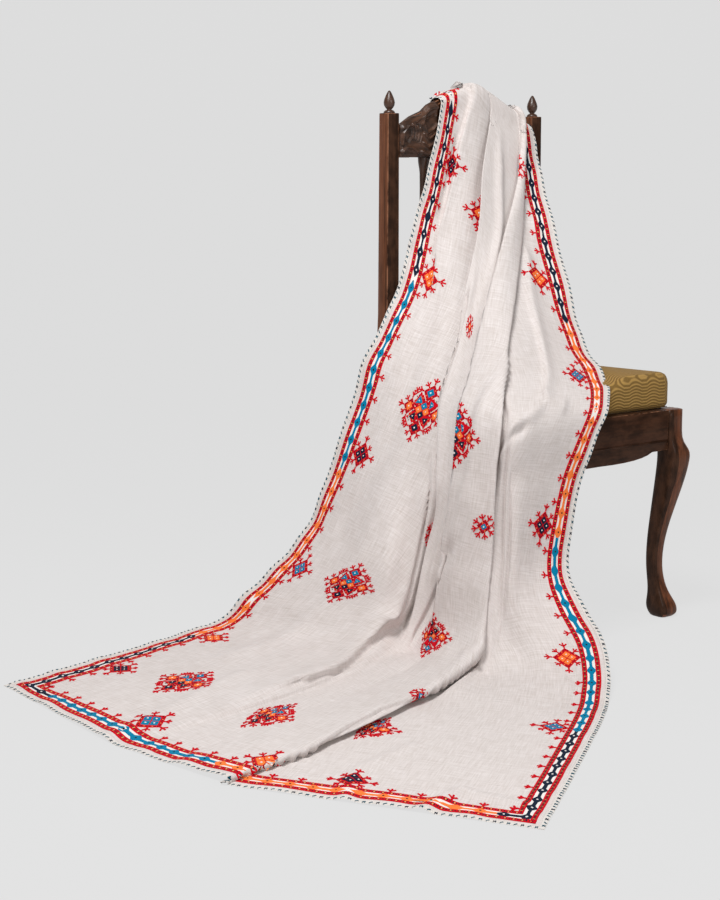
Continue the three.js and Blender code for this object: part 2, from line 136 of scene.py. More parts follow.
def ranged(tree, value, low, high, newLow=0.0, newHigh=1.0):
    return addNode(tree, "MapRange", {0: value, 1: low, 2: high, 3: newLow, 4: newHigh}).outputs[0]


# noise drawn out by a scale each way
def drawnNoise(tree, vector, scale, detail, roughness=0.6, distortion=0.0):
    mapping = addNode(tree, "Mapping", {"Vector": vector, "Scale": scale})
    return addNode(tree, "TexNoise", {"Vector": mapping.outputs[0], "Scale": 1, "Detail": detail,
                                      "Roughness": roughness, "Distortion": distortion}).outputs[0]


def bumped(tree, shader, height, strength, distance):
    bump = addNode(tree, "Bump", {"Strength": strength, "Distance": distance, "Height": height})
    join(tree, bump.outputs[0], shader.inputs["Normal"])


def newGroup(name, inputs, outputs):
    group = bpy.data.node_groups.new(name, "ShaderNodeTree")
    for socket, kind, value in inputs:
        made = group.interface.new_socket(socket, in_out="INPUT", socket_type="NodeSocket" + kind)
        if value is not None:
            made.default_value = value
    for socket, kind in outputs:
        group.interface.new_socket(socket, in_out="OUTPUT", socket_type="NodeSocket" + kind)
    return group, group.nodes.new("NodeGroupInput"), group.nodes.new("NodeGroupOutput")


# the view
cameraSetup = {"place": (-2.392, -2.526, 0.912), "heading": (0.6140, 0.7893), "tilt": 9.316,
               "lens": 68.37, "sensor": 36}

cameraData = bpy.data.cameras.new("camera")
cameraData.lens = cameraSetup["lens"]
cameraData.sensor_fit = "VERTICAL"
cameraData.sensor_height = cameraSetup["sensor"]
camera = addObject("camera", cameraData)
camera.location = Vector(cameraSetup["place"]) + chairMiddle
tilt = math.radians(cameraSetup["tilt"])
headingX, headingY = cameraSetup["heading"]
lookWay = Vector((headingX * math.cos(tilt), headingY * math.cos(tilt), -math.sin(tilt)))
camera.rotation_euler = lookWay.to_track_quat("-Z", "Y").to_euler()
bpy.context.scene.camera = camera
print("camera placed")


# the cloth: one length, laid over the crest rail, down past the seat and out across the floor
cloth = {"width": 1.2, "length": 2.185, "across": 220, "along": 400}
lineAcross = np.array([0, 75, 240, 370, 410, 450, 485, 520, 605, 690, 755, 800, 950, 1125, 1200]) / 1000
sectionColumns = ("left", "ridge", "valley", "inner", "middle", "outer", "foot", "right")
# a row per section, in millimetres from the middle of the chair: eight places, then the two tucks
sections = [
    ((-74, 180, 1026), (92, 184, 1008), (118, 181, 1002), (50, 172, 1016),
     (132, 168, 996), (144, 163, 990), (112, 180, 976), (182, 177, 970), 8, 8),
    ((-108, 177, 905), (40, 154, 900), (70, 148, 896), (-5, 132, 908),
     (93, 132, 893), (113, 133, 884), (72, 158, 886), (180, 158, 905), 14, 12),
    ((-148, 176, 793), (-18, 116, 790), (5, 98, 786), (-45, 98, 793),
     (2, 72, 782), (67, 86, 780), (26, 112, 782), (153, 86, 790), 30, 22),
    ((-186, 173, 680), (-97, 75, 668), (-78, 45, 666), (-112, 62, 668),
     (-88, 18, 672), (-28, 0, 668), (-38, 28, 668), (122, 5, 665), 28, 16),
    ((-238, 182, 578), (-152, 25, 568), (-155, -15, 566), (-170, 22, 562),
     (-178, -40, 565), (-138, -98, 572), (-126, -84, 568), (97, -62, 566), 34, 36),
    ((-263, 196, 522), (-195, 3, 516), (-203, -38, 514), (-212, 2, 513),
     (-226, -78, 518), (-200, -158, 522), (-186, -152, 512), (62, -160, 500), 38, 40),
    ((-282, 203, 455), (-246, -14, 448), (-251, -64, 446), (-256, -24, 444),
     (-282, -112, 458), (-270, -226, 462), (-250, -236, 452), (-22, -246, 454), 40, 44),
    ((-325, 216, 330), (-308, 4, 335), (-284, -44, 330), (-292, -40, 330),
     (-300, -116, 330), (-286, -228, 345), (-260, -242, 340), (-92, -252, 330), 34, 44),
    ((-395, 242, 167), (-382, -26, 174), (-334, -40, 138), (-314, -62, 160),
     (-308, -92, 165), (-292, -222, 165), (-268, -248, 165), (-142, -272, 162), 12, 40),
    ((-582, 304, 0), (-430, -32, 46), (-390, -58, 14), (-366, -78, 8),
     (-344, -104, 10), (-350, -250, 34), (-338, -268, 6), (-196, -420, 58), -12, 28),
    ((-705, 272, 0), (-580, -110, 34), (-577, -140, 2), (-566, -168, 0),
     (-556, -204, 0), (-542, -334, 29), (-538, -348, 1), (-325, -552, 0), -16, 30),
    ((-885, 232, 0), (-802, -162, 24), (-798, -190, 1), (-795, -220, 0),
     (-790, -256, 0), (-772, -410, 24), (-768, -426, 0), (-560, -722, 0), -16, 26),
    ((-1077, 189, 0), (-1082, -190, 5), (-1078, -228, 0), (-1070, -270, 0),
     (-1062, -320, 0), (-1036, -462, 18), (-1032, -480, 0), (-791, -881, 0), -18, 20),
]
crestArch = {"x": (0, 24, 48, 78, 97, 113, 142, 168, 182),
             "z": (1074, 1072, 1065, 1051, 1043, 1030, 1019, 1003, 998)}
crest = {"front": 181, "middle": 200, "back": 218, "half": 13, "reach": 182, "softening": 6, "clear": 4.0,
         "fanMiddle": 62, "fan": 275, "wave": 20, "waves": 7, "dropLeft": 380, "dropRight": 60, "top": 1020,
         "drawnFrom": 50, "drawnTo": 176, "drawn": 0.97}


def archTop(x):
    return np.interp(np.abs(x), crestArch["x"], crestArch["z"])


def unit(v):
    return v / np.linalg.norm(v)


def towards(start, end, distance):
    return start + unit(end - start) * distance


# a section's fifteen places, worked out from its eight; an edge panel narrower than "full" counts as gathered
panelPlan = {"band": 75, "bandNarrowed": 0.2, "full": 400, "panelAt": 0.6, "gatheredAt": 0.12, "puff": 6,
             "crown": 9, "underAt": 0.6, "bandMost": 0.8, "rightPanelAt": 0.55}


def sectionPlaces(section, nextInner):
    p = {name: np.array(place, float) for name, place in zip(sectionColumns, section)}
    tuckMiddle, tuckOuter = section[8:]
    out = unit(np.cross(nextInner - p["inner"], p["right"] - p["left"]))
    puff = out * panelPlan["puff"]
    pleatRun = unit(p["outer"] - p["middle"])
    gathered = max(0, 1 - np.linalg.norm(p["left"] - p["ridge"]) / panelPlan["full"])
    band = panelPlan["band"] * (1 - panelPlan["bandNarrowed"] * min(1, 2 * gathered))
    footWidth = np.linalg.norm(p["right"] - p["foot"])
    p["leftBand"] = towards(p["left"], p["ridge"], band)
    panelAt = panelPlan["panelAt"] + panelPlan["gatheredAt"] * gathered
    p["panel"] = p["left"] + (p["ridge"] - p["left"]) * panelAt + puff
    p["underMiddle"] = p["middle"] + pleatRun * tuckMiddle - puff
    p["crown"] = (p["middle"] + p["outer"]) / 2 + out * panelPlan["crown"]
    p["underOuter"] = p["outer"] + (p["foot"] - p["outer"]) * panelPlan["underAt"] - pleatRun * tuckOuter
    p["rightBand"] = towards(p["right"], p["foot"], min(band, panelPlan["bandMost"] * footWidth))
    p["rightPanel"] = p["foot"] + (p["rightBand"] - p["foot"]) * panelPlan["rightPanelAt"] + puff
    order = ("left", "leftBand", "panel", "ridge", "valley", "inner", "underMiddle", "middle", "crown",
             "outer", "underOuter", "foot", "rightPanel", "rightBand", "right")
    return np.array([p[name] for name in order])


def crestPlaces(front, y, opened, layerY, layerZ, heightAt):
    across = lineAcross / cloth["width"]
    layer = np.maximum(0, crest["front"] - front[:, 1])
    pleated = crest["drawnFrom"] + (np.minimum(front[:, 0], crest["drawnTo"]) - crest["drawnFrom"]) * crest["drawn"]
    fanned = crest["fanMiddle"] + (across - 0.5) * crest["fan"]
    x = pleated + (fanned - pleated) * opened
    wave = crest["wave"] * opened * np.sin(crest["waves"] * math.pi * across)
    return np.stack([x, y + layerY * layer + wave, heightAt(x, across) + layerZ * layer], axis=1)


def dropAt(across):
    return crest["dropLeft"] + (crest["dropRight"] - crest["dropLeft"]) * across


# the net, from the foot of the drop behind the crest, over the rail and down to the front hem
lastInner = 2 * np.array(sections[-1][3], float) - np.array(sections[-2][3], float)
inners = [np.array(s[3], float) for s in sections[1:]] + [lastInner]
frontRows = [sectionPlaces(s, inner) for s, inner in zip(sections, inners)]
crestFront = frontRows[0]
crestRows = [
    crestPlaces(crestFront, crest["back"] + 34, 1, 0.2, 0, lambda x, a: crest["top"] - dropAt(a)),
    crestPlaces(crestFront, crest["back"] + 20, 0.6, 0.5, 0, lambda x, a: crest["top"] - dropAt(a) / 2),
    crestPlaces(crestFront, crest["back"], 0, 1, 0, lambda x, a: archTop(x) - 16),
    crestPlaces(crestFront, crest["back"] - 5, 0, 0.7, 0.7, lambda x, a: archTop(x) - 2),
    crestPlaces(crestFront, crest["middle"], 0, 0, 1, lambda x, a: archTop(x) + crest["clear"]),
    crestPlaces(crestFront, crest["front"] + 2, 0, -0.7, 0.7, lambda x, a: archTop(x) - 2),
]
clothNet = np.array(crestRows + frontRows)
lastRow, lastLine = clothNet.shape[0] - 1, clothNet.shape[1] - 1


# the net with one more row or line at each end, which its splines need
def carriedOn(net):
    return np.concatenate([2 * net[:1] - net[1:2], net, 2 * net[-1:] - net[-2:-1]])


netPadded = carriedOn(carriedOn(clothNet).swapaxes(0, 1)).swapaxes(0, 1)
lowestCloth = 0.8                     # millimetres over the floor


def splineShares(t):
    t2, t3 = t * t, t * t * t
    return np.stack([-0.5 * t + t2 - 0.5 * t3, 1 - 2.5 * t2 + 1.5 * t3,
                     0.5 * t + 2 * t2 - 1.5 * t3, -0.5 * t2 + 0.5 * t3], -1)


# places on the cloth's form, in millimetres from the middle of the chair
def formAt(line, row):
    i = np.minimum(line.astype(int), lastLine - 1)
    j = np.minimum(row.astype(int), lastRow - 1)
    lineShare, rowShare = splineShares(line - i), splineShares(row - j)
    place = 0
    for a in range(4):
        for b in range(4):
            share = rowShare[..., a] * lineShare[..., b]
            place = place + share[..., None] * netPadded[j + a, i + b]
    fromMiddle = np.abs(place[..., 1] - crest["middle"])
    onRail = (fromMiddle <= crest["half"] + crest["clear"]) & (np.abs(place[..., 0]) <= crest["reach"])
    softened = np.maximum(0, fromMiddle - crest["half"] + crest["softening"])
    rest = np.where(onRail, archTop(place[..., 0]) + crest["clear"] - softened, 0)
    place[..., 2] = np.maximum(np.maximum(place[..., 2], lowestCloth), rest)
    return place


# flat places on the cut cloth: metres across from the left edge, and along from the front hem
rowSteps = np.arange(0, lastRow + 0.01, 0.1)


def edgeLengths(line):
    places = formAt(np.full(rowSteps.shape, float(line)), rowSteps)
    steps = np.linalg.norm(np.diff(places, axis=0), axis=1)
    passed = np.concatenate([[0], np.cumsum(steps)])
    return (1 - passed / passed[-1]) * cloth["length"]


leftAlong, rightAlong = edgeLengths(0), edgeLengths(lastLine)
tableAcross, tableAlong = 41, 801
rowTable = np.zeros((tableAcross, tableAlong))
for g in range(tableAcross):
    alongHere = leftAlong + (rightAlong - leftAlong) * g / (tableAcross - 1)
    rowTable[g] = np.interp(np.linspace(0, cloth["length"], tableAlong), alongHere[::-1], rowSteps[::-1])


# panels that show keep their true width, and what is left of the cloth is taken up inside the two tucks
tuckLines = (4.0, 5.9, 10.0, 11.0)
hemPlan = {"width": 0.06, "most": 0.2, "tucksFrom": 2.5, "tucksOver": 2}
lineSteps = np.linspace(0, lastLine, 141)
flatSteps = np.linspace(0, cloth["width"], 241)
lineTable = np.zeros((len(rowSteps), len(flatSteps)))
# the left edge's band is drawn in by a share where the cloth curls away, row by row; "flat" goes to "laid"
edgeCurl = {"row": (4.5, 6.5, 10.0, 11.5, 13.0, 13.7, 14.5, 16.2, 17.2), "band": 0.09,
            "share": (0.92, 0.72, 0.76, 1.0, 1.0, 0.76, 1.0, 1.0, 1.18),
            "flat": (0.32, 1.11, 1.2), "laid": (0.32, 1.116, 1.2)}
for k, row in enumerate(rowSteps):
    places = formAt(lineSteps, np.full(lineSteps.shape, row)) / 1000
    arc = np.concatenate([[0], np.cumsum(np.linalg.norm(np.diff(places, axis=0), axis=1))])
    whole = arc[-1]
    spare = cloth["width"] - whole
    first, second, third, fourth = np.interp(tuckLines, lineSteps, arc)
    tuckedFlat = (0, first, second + spare / 2, third + spare / 2, fourth + spare, cloth["width"])
    tucked = np.interp(flatSteps, tuckedFlat, (0, first, second, third, fourth, whole))
    curled = edgeCurl["band"] * np.interp(row, edgeCurl["row"], edgeCurl["share"])
    laid = np.interp(flatSteps, (0, edgeCurl["band"], *edgeCurl["flat"]), (0, curled, *edgeCurl["laid"]))
    tucked = np.interp(laid, flatSteps, tucked)
    hem = min(hemPlan["width"], whole * hemPlan["most"])
    evenly = np.interp(flatSteps, (0, hem, cloth["width"] - hem, cloth["width"]), (0, hem, whole - hem, whole))
    share = np.clip((row - hemPlan["tucksFrom"]) / hemPlan["tucksOver"], 0, 1)
    lineTable[k] = np.interp(evenly + (tucked - evenly) * share, arc, lineSteps)


# a table's value between its own steps
def betweenSteps(table, g, h):
    i, j = g.astype(int), h.astype(int)
    s, t = g - i, h - j
    if table.ndim > 2:
        s, t = s[:, None], t[:, None]
    return ((table[i, j] * (1 - s) + table[i + 1, j] * s) * (1 - t)
            + (table[i, j + 1] * (1 - s) + table[i + 1, j + 1] * s) * t)


def lookUp(table, first, second):
    g, h = (np.clip(share * (size - 1), 0, size - 1.001) for share, size in zip((first, second), table.shape))
    return betweenSteps(table, g, h)


def gridPlace(x, y):
    row = lookUp(rowTable, x / cloth["width"], y / cloth["length"])
    return lookUp(lineTable, row / lastRow, x / cloth["width"]), row


# soft creases, in millimetres: half width, height, steep side (-1 towards the left edge), how far it leans over
# that side, and the flat places that it runs through
creases = [
    (40, 10, -1, 10, (104, 1800), (92, 1700), (88, 1620), (84, 1500), (82, 1420)),
    (11, -7, 0, 0, (74, 1660), (68, 1600), (64, 1500)),
    (24, -6, 0, 0, (100, 1330), (120, 1200), (140, 1020), (120, 850)),
    (34, 6, 0, 0, (235, 1300), (250, 1150), (260, 980)),
    (16, 12, 0, 0, (275, 950), (308, 871), (335, 800), (366, 667)),
    (13, -17, 0, 0, (344, 1400), (342, 1280), (358, 1140), (380, 1010), (400, 920), (420, 800), (430, 680)),
    (30, 8, 0, 0, (368, 1420), (366, 1280), (386, 1140), (410, 1010)),
    (20, -6, 0, 0, (660, 1230), (662, 1150), (656, 1080)),
    (30, 7, 0, 0, (520, 1750), (500, 1400), (520, 1100), (550, 850)),
    (16, 6, 0, 0, (690, 1360), (684, 1200), (672, 1080), (664, 960)),
    (14, -9, 0, 0, (658, 900), (610, 800), (530, 670)),
    (22, 7, 0, 0, (700, 1000), (690, 850), (660, 720)),
    (14, 8, 0, 0, (1076, 1295), (1034, 1303), (898, 1169)),
    (12, -9, 0, 0, (988, 1234), (870, 1160), (760, 1095)),
    (18, -7, 0, 0, (800, 1440), (830, 1340), (900, 1260)),
    (34, 10, 0, 0, (880, 1020), (900, 800), (930, 600)),
    (18, -7, 0, 0, (950, 1160), (955, 1000), (990, 860)),
    (26, -8, 0, 0, (1020, 1100), (1030, 900), (1050, 700)),
    (16, 9, -1, 4, (1110, 1720), (1092, 1637), (1054, 1466), (1030, 1330)),
    (8, 5, 0, 0, (1143, 1870), (1160, 1810)),
    (30, 10, 1, 11, (366, 640), (378, 596), (382, 562), (410, 442), (414, 360)),
    (40, 5, 1, 0, (414, 360), (408, 280)),
    (15, -10, 0, 0, (415, 720), (400, 620), (402, 560), (428, 450)),
    (30, 8, 1, 10, (786, 700), (772, 627), (750, 544), (738, 500), (708, 367), (700, 180), (700, 0)),
    (10, 6, 0, 0, (790, 664), (758, 650)),
    (30, 6, 0, 0, (200, 900), (220, 620), (200, 400)),
    (20, 5, 0, 0, (300, 300), (340, 120), (360, 0)),
    (14, 5, 0, 0, (900, 0), (880, 120), (930, 250)),
    (14, 7, 0, 0, (1020, 0), (1050, 80)),
    (10, 5, 0, 0, (1058, 90), (1162, 73)),
    (12, -5, 0, 0, (1120, 732), (1144, 667)),
]
creasePlan = {"steepWidth": 0.006, "yShare": 0.6}


# how high the creases stand off the cloth at a flat place, and how far they lean across it
def creased(x, y):
    height, lean = np.zeros(x.shape), np.zeros(x.shape)
    for halfWidth, tall, steep, over, *points in creases:
        nearest, beside = fromLine(x, y, np.array(points) / 1000, creasePlan["yShare"])
        reach = np.where((beside == steep) & (steep != 0), creasePlan["steepWidth"], halfWidth / 1000)
        fade = np.exp(-(nearest / reach) ** 2)
        height += tall / 1000 * fade
        lean += over / 1000 * steep * fade
    return height, lean


# the gathers behind the crest, and the ripples that run along the free edges
ripples = {"gatherWaves": 15, "gatherHeight": 0.011, "gatherRow": 3.3, "gatherOver": 1.3,
           "edgeHeight": 0.0022, "edgePitch": 0.11, "edgeWidth": 0.045,
           "hemHeight": 0.0018, "hemPitch": 0.13, "hemWidth": 0.04}


def rippleHeight(x, y, row):
    behind = np.clip((ripples["gatherRow"] - row) / ripples["gatherOver"], 0, 1)
    gathers = ripples["gatherHeight"] * behind * np.sin(x / cloth["width"] * 2 * math.pi * ripples["gatherWaves"])
    fromEdge = np.minimum(x, cloth["width"] - x)
    edge = np.exp(-(fromEdge / ripples["edgeWidth"]) ** 2) * np.clip((row - 5) / 2, 0, 1)
    edge = edge * np.sin(y / ripples["edgePitch"] * 2 * math.pi + 2.2 * np.sin(y * 9) + x * 4)
    hem = np.exp(-(y / ripples["hemWidth"]) ** 2)
    hem = hem * np.sin(x / ripples["hemPitch"] * 2 * math.pi + 1.7 * np.sin(x * 11))
    return gathers + ripples["edgeHeight"] * edge + ripples["hemHeight"] * hem


# the grid that the cloth and everything sewn on it is laid by
floorPlan = {"trainFrom": 0.62, "trainOver": 0.12, "low": 0.06, "lowOver": 0.02, "pressed": 0.55, "lowest": 0.0007}
flatX, flatY = np.meshgrid(np.linspace(0, cloth["width"], cloth["across"] + 1),
                           np.linspace(0, cloth["length"], cloth["along"] + 1), indexing="ij")
gridLine, gridRow = gridPlace(flatX, flatY)


def units(ways):
    return ways / np.maximum(np.linalg.norm(ways, axis=-1, keepdims=True), 1e-9)


def gridNormals(places):
    return units(np.cross(-np.gradient(places, axis=1), np.gradient(places, axis=0)))


gridForm = formAt(gridLine, gridRow) / 1000
onFloor = (np.clip((floorPlan["trainFrom"] - flatY) / floorPlan["trainOver"], 0, 1)
           * np.clip((floorPlan["low"] - gridForm[..., 2]) / floorPlan["lowOver"], 0, 1))
gridForm[..., 2] *= 1 - floorPlan["pressed"] * onFloor
creaseHeight, creaseLean = creased(flatX, flatY)
gridHeight = creaseHeight + rippleHeight(flatX, flatY, gridRow)
gridAside = units(np.gradient(gridForm, axis=0))
gridForm = gridForm + gridNormals(gridForm) * gridHeight[..., None] + gridAside * creaseLean[..., None]
gridForm[..., 2] = np.maximum(gridForm[..., 2], floorPlan["lowest"])
gridNormal = gridNormals(gridForm)


def onGrid(grid, x, y):
    g = np.clip(x / cloth["width"] * cloth["across"], 0, cloth["across"] - 0.0001)
    h = np.clip(y / cloth["length"] * cloth["along"], 0, cloth["along"] - 0.0001)
    return betweenSteps(grid, g, h)


# flat: a row per point, with metres across, metres along and the height off the cloth's face
def onCloth(flat, step=0.008):
    x = np.clip(flat[:, 0], 0, cloth["width"])
    y = np.clip(flat[:, 1], 0, cloth["length"])
    rightX, leftX = np.minimum(x + step, cloth["width"]), np.maximum(x - step, 0)
    backY, frontY = np.minimum(y + step, cloth["length"]), np.maximum(y - step, 0)
    acrossWay = onGrid(gridForm, rightX, y) - onGrid(gridForm, leftX, y)
    alongWay = onGrid(gridForm, x, backY) - onGrid(gridForm, x, frontY)
    place = onGrid(gridForm, x, y) + units(onGrid(gridNormal, x, y)) * flat[:, 2:3]
    place = place + units(acrossWay) * (flat[:, 0] - x)[:, None] + units(alongWay) * (flat[:, 1] - y)[:, None]
    place[:, 2] = np.maximum(place[:, 2], 0.0004 + np.maximum(flat[:, 2], 0))
    return place + chairShift


def layOnCloth(mesh):
    movedMesh(mesh, onCloth(meshPlaces(mesh)))


# wool cloth
woolLook = {"light": (0.75, 0.697, 0.684, 1), "dark": (0.50, 0.44, 0.405, 1), "threadsPerMetre": 520,
            "drawn": 26, "slub": 110, "cloud": 6, "bump": 0.38,
            "finish": {"Roughness": 0.95, "Sheen Weight": 0.12, "Sheen Roughness": 0.5}}
wool, tree, shader = newMaterial("wool", woolLook["finish"])
weaveMap = addNode(tree, "UVMap").outputs[0]
fine, drawn, slub, cloud = (woolLook[part] for part in ("threadsPerMetre", "drawn", "slub", "cloud"))
weave = sums(tree, "ADD", drawnNoise(tree, weaveMap, (fine, drawn, 1), 2),
             drawnNoise(tree, weaveMap, (drawn, fine, 1), 2))
slubs = sums(tree, "ADD", drawnNoise(tree, weaveMap, (18, slub * 2.6, 1), 2),
             drawnNoise(tree, weaveMap, (slub * 3, 15, 1), 2))
cloudy = drawnNoise(tree, weaveMap, (cloud, cloud, 1), 3)
shade = sums(tree, "ADD", ranged(tree, weave, 0.7, 1.3, 0, 0.6), ranged(tree, slubs, 0.75, 1.25, 0, 0.3))
shade = sums(tree, "ADD", shade, ranged(tree, cloudy, 0.3, 0.7, 0, 0.12))
join(tree, mixColours(tree, shade, woolLook["dark"], woolLook["light"]), shader.inputs["Base Color"])
bumped(tree, shader, sums(tree, "ADD", weave, sums(tree, "MULTIPLY", slubs, 0.3)), woolLook["bump"], 0.0006)

bm = bmesh.new()
bmesh.ops.create_grid(bm, x_segments=cloth["across"], y_segments=cloth["along"], size=0.5)
bmesh.ops.translate(bm, verts=bm.verts, vec=(0.5, 0.5, 0))
bmesh.ops.scale(bm, verts=bm.verts, vec=(cloth["width"], cloth["length"], 1))
uvLayer = bm.loops.layers.uv.verify()
for face in bm.faces:
    for loop in face.loops:
        loop[uvLayer].uv = loop.vert.co.xy
clothMesh = meshFrom(bm, "shawlCloth")
layOnCloth(clothMesh)
clothNodes = ("shawl_back_drop", "shawl_crest_fall", "shawl_seat_fall", "shawl_leg_fall", "shawl_train")
shawlCloth = newPiece("shawlCloth", clothMesh, [wool], clothNodes)
print("cloth laid:", len(clothMesh.vertices), "places")


# embroidery threads: a twist that every thread shares, and a colour each
twist, twistIn, twistOut = newGroup("threadTwist", [("Scale", "Float", 900)],
                                    [("Shade", "Float"), ("Height", "Float")])
twistNoise = addNode(twist, "TexNoise", {"Vector": addNode(twist, "TexCoord").outputs["Object"], "Detail": 2,
                                         "Scale": twistIn.outputs["Scale"], "Roughness": 0.55}).outputs[0]
join(twist, ranged(twist, twistNoise, 0.3, 0.7), twistOut.inputs["Shade"])
join(twist, twistNoise, twistOut.inputs["Height"])

threadColours = {
    "red": (0.60, 0.002, 0.012), "navy": (0.008, 0.016, 0.036), "blue": (0.0, 0.20, 0.36),
    "orange": (0.98, 0.21, 0.045), "white": (0.84, 0.81, 0.77), "dark": (0.014, 0.014, 0.020),
    "ochre": (0.75, 0.36, 0.12), "cream": (0.70, 0.66, 0.62), "teal": (0.004, 0.075, 0.115),
}
threadLook = {"scale": 900, "low": 0.72, "high": 1.15, "bump": 0.4,
              "finish": {"Roughness": 0.75, "Specular IOR Level": 0.08}}


def threadMaterial(name):
    material, tree, shader = newMaterial(name + "Thread", threadLook["finish"])
    twisted = addNode(tree, "Group", {"Scale": threadLook["scale"]}, node_tree=twist)
    low, high = ((*[min(1, part * threadLook[end]) for part in threadColours[name]], 1) for end in ("low", "high"))
    join(tree, mixColours(tree, twisted.outputs["Shade"], low, high), shader.inputs["Base Color"])
    bumped(tree, shader, twisted.outputs["Height"], threadLook["bump"], 0.0004)
    return material


threadNames = list(threadColours)
threads = [threadMaterial(name) for name in threadNames]


def paint(verts, name):
    for face in {face for vert in verts for face in vert.link_faces}:
        face.material_index = threadNames.index(name)


# a single stitch, from one flat place to another, in metres; its top is narrower than its foot
def stitch(bm, start, end, width, height, name, base=0.0, top=0.72):
    (ax, ay), (bx, by) = start, end
    middle = Vector(((ax + bx) / 2, (ay + by) / 2, base))
    place = (Matrix.Translation(middle) @ Matrix.Rotation(math.atan2(by - ay, bx - ax), 4, "Z")
             @ Matrix.Diagonal((math.hypot(bx - ax, by - ay), width, height * 2, 1)))
    made = bmesh.ops.create_cube(bm, size=1, matrix=place)["verts"]
    for vert in made:
        if vert.co.z > base:
            vert.co.xy = middle.xy + (vert.co.xy - middle.xy) * top
    paint(made, name)


# a satin-stitched pad with sides: a polygon of stitches, raised to a flat top
def pad(bm, x, y, radius, sides, angle, height, name, base=0.0, stretch=1.0, top=0.82):
    place = Matrix.Translation((x, y, base)) @ Matrix.Rotation(angle, 4, "Z") @ Matrix.Diagonal((stretch, 1, 1, 1))
    made = bmesh.ops.create_cone(bm, cap_ends=True, segments=sides, radius1=radius, radius2=radius * top,
                                 depth=height * 2, matrix=place)["verts"]
    paint(made, name)


# the place at an offset that turns with an angle
def turned(x, y, angle, dx, dy=0.0):
    return x + dx * math.cos(angle) - dy * math.sin(angle), y + dx * math.sin(angle) + dy * math.cos(angle)


sprigPlan = {"stem": 0.0056, "prong": 0.0102, "side": 0.0098, "spread": 50, "width": 0.0034, "height": 0.0011}


def sprig(bm, x, y, angle, size=1.0):
    width, height = sprigPlan["width"] * size, sprigPlan["height"]
    fork = turned(x, y, angle, sprigPlan["stem"] * size)
    stitch(bm, (x, y), fork, width * 1.1, height, "red")
    for turn, reach in ((0, sprigPlan["prong"]), (1, sprigPlan["side"]), (-1, sprigPlan["side"])):
        spread = math.radians(sprigPlan["spread"]) * turn
        stitch(bm, turned(*fork, angle, -0.0005), turned(*fork, angle + spread, reach * size), width, height, "red")


# sprigs that point away from a place, a distance out, one for each turn
def sprigs(bm, x, y, angle, turns, distance, size=1.0):
    for turn in turns:
        sprig(bm, *turned(x, y, angle + turn, distance), angle + turn, size)


# a flat patch of satin stitches that follows the cloth under it
def patch(bm, x, y, angle, halfX, halfY, height, name, base=0.0, parts=4, edge=0.0006):
    made = bmesh.ops.create_grid(bm, x_segments=parts + 2, y_segments=parts + 2, size=1)["verts"]
    inner = parts / (parts + 2) + 0.001
    for vert in made:
        atEdge = max(abs(vert.co.x), abs(vert.co.y)) > inner
        spread = [math.copysign(half, c) if abs(c) > inner else c / inner * (half - edge)
                  for c, half in ((vert.co.x, halfX), (vert.co.y, halfY))]
        vert.co = (*turned(x, y, angle, *spread), base if atEdge else base + height)
    paint(made, name)


# dots of two colours round the four sides of a square
def dotRing(bm, x, y, angle, half, count, base):
    for side in range(4):
        for k in range(count):
            run = (k + 0.5) / count * 2 * half - half
            px, py = turned(x, y, angle + side * math.pi / 2, run, half)
            pad(bm, px, py, 0.0014, 4, angle + math.pi / 4, 0.0004, ("dark", "ochre")[k % 3 == 2], base=base)


# a square block of cells, outlined in red with dots between the outlines
blockPlan = {"ground": 0.0007, "cell": 0.0006, "gap": 0.0008, "dot": 0.0005, "dotPitch": 0.0040, "least": 0.003}


def block(bm, x, y, angle, side, colour, cells=2, ring=0.0050, dot=0.0015):
    edge, ground = side / 2 + ring, blockPlan["ground"]
    patch(bm, x, y, angle, edge, edge, ground, "red", parts=6)
    if ring > blockPlan["least"]:
        dotRing(bm, x, y, angle, side / 2 + ring / 2, max(3, round((side + ring) / blockPlan["dotPitch"])), ground)
    step = side / cells
    half = step / 2 - blockPlan["gap"]
    for i in range(cells):
        for j in range(cells):
            cell = turned(x, y, angle, (i - (cells - 1) / 2) * step, (j - (cells - 1) / 2) * step)
            patch(bm, *cell, angle, half, half, blockPlan["cell"], colour, base=ground, parts=2)
            pad(bm, *cell, dot, 6, 0, blockPlan["dot"], "white", base=ground + blockPlan["cell"])


quarter = math.pi / 2
eighth = math.pi / 4
squarePoints = (0, quarter, -quarter)
squareFlats = (eighth, -eighth, 3 * eighth, -3 * eighth)

# a small diamond with eight sprigs round it
starPlan = {"side": 0.0105, "ring": 0.0046, "dot": 0.0021, "sprig": 0.86}


def star(bm, x, y, colour, size):
    side = starPlan["side"] * size
    block(bm, x, y, eighth, side, colour, cells=1, ring=starPlan["ring"], dot=starPlan["dot"])
    sprigs(bm, x, y, 0, [eighth * (k + 0.5) for k in range(8)], side, starPlan["sprig"] * size)


# a border square, standing on its point against the inner band
squarePlan = {"side": 0.0270, "ring": 0.0060, "lap": 0.0006, "dot": 0.0018, "flatSprig": 0.9}


def borderSquare(bm, x, y, inward, colour):
    block(bm, x, y, inward + eighth, squarePlan["side"], colour, ring=squarePlan["ring"], dot=squarePlan["dot"])
    half = squarePlan["side"] / 2 + squarePlan["ring"] - squarePlan["lap"]
    sprigs(bm, x, y, inward, squarePoints, half * math.sqrt(2))
    sprigs(bm, x, y, inward, squareFlats, half, squarePlan["flatSprig"])


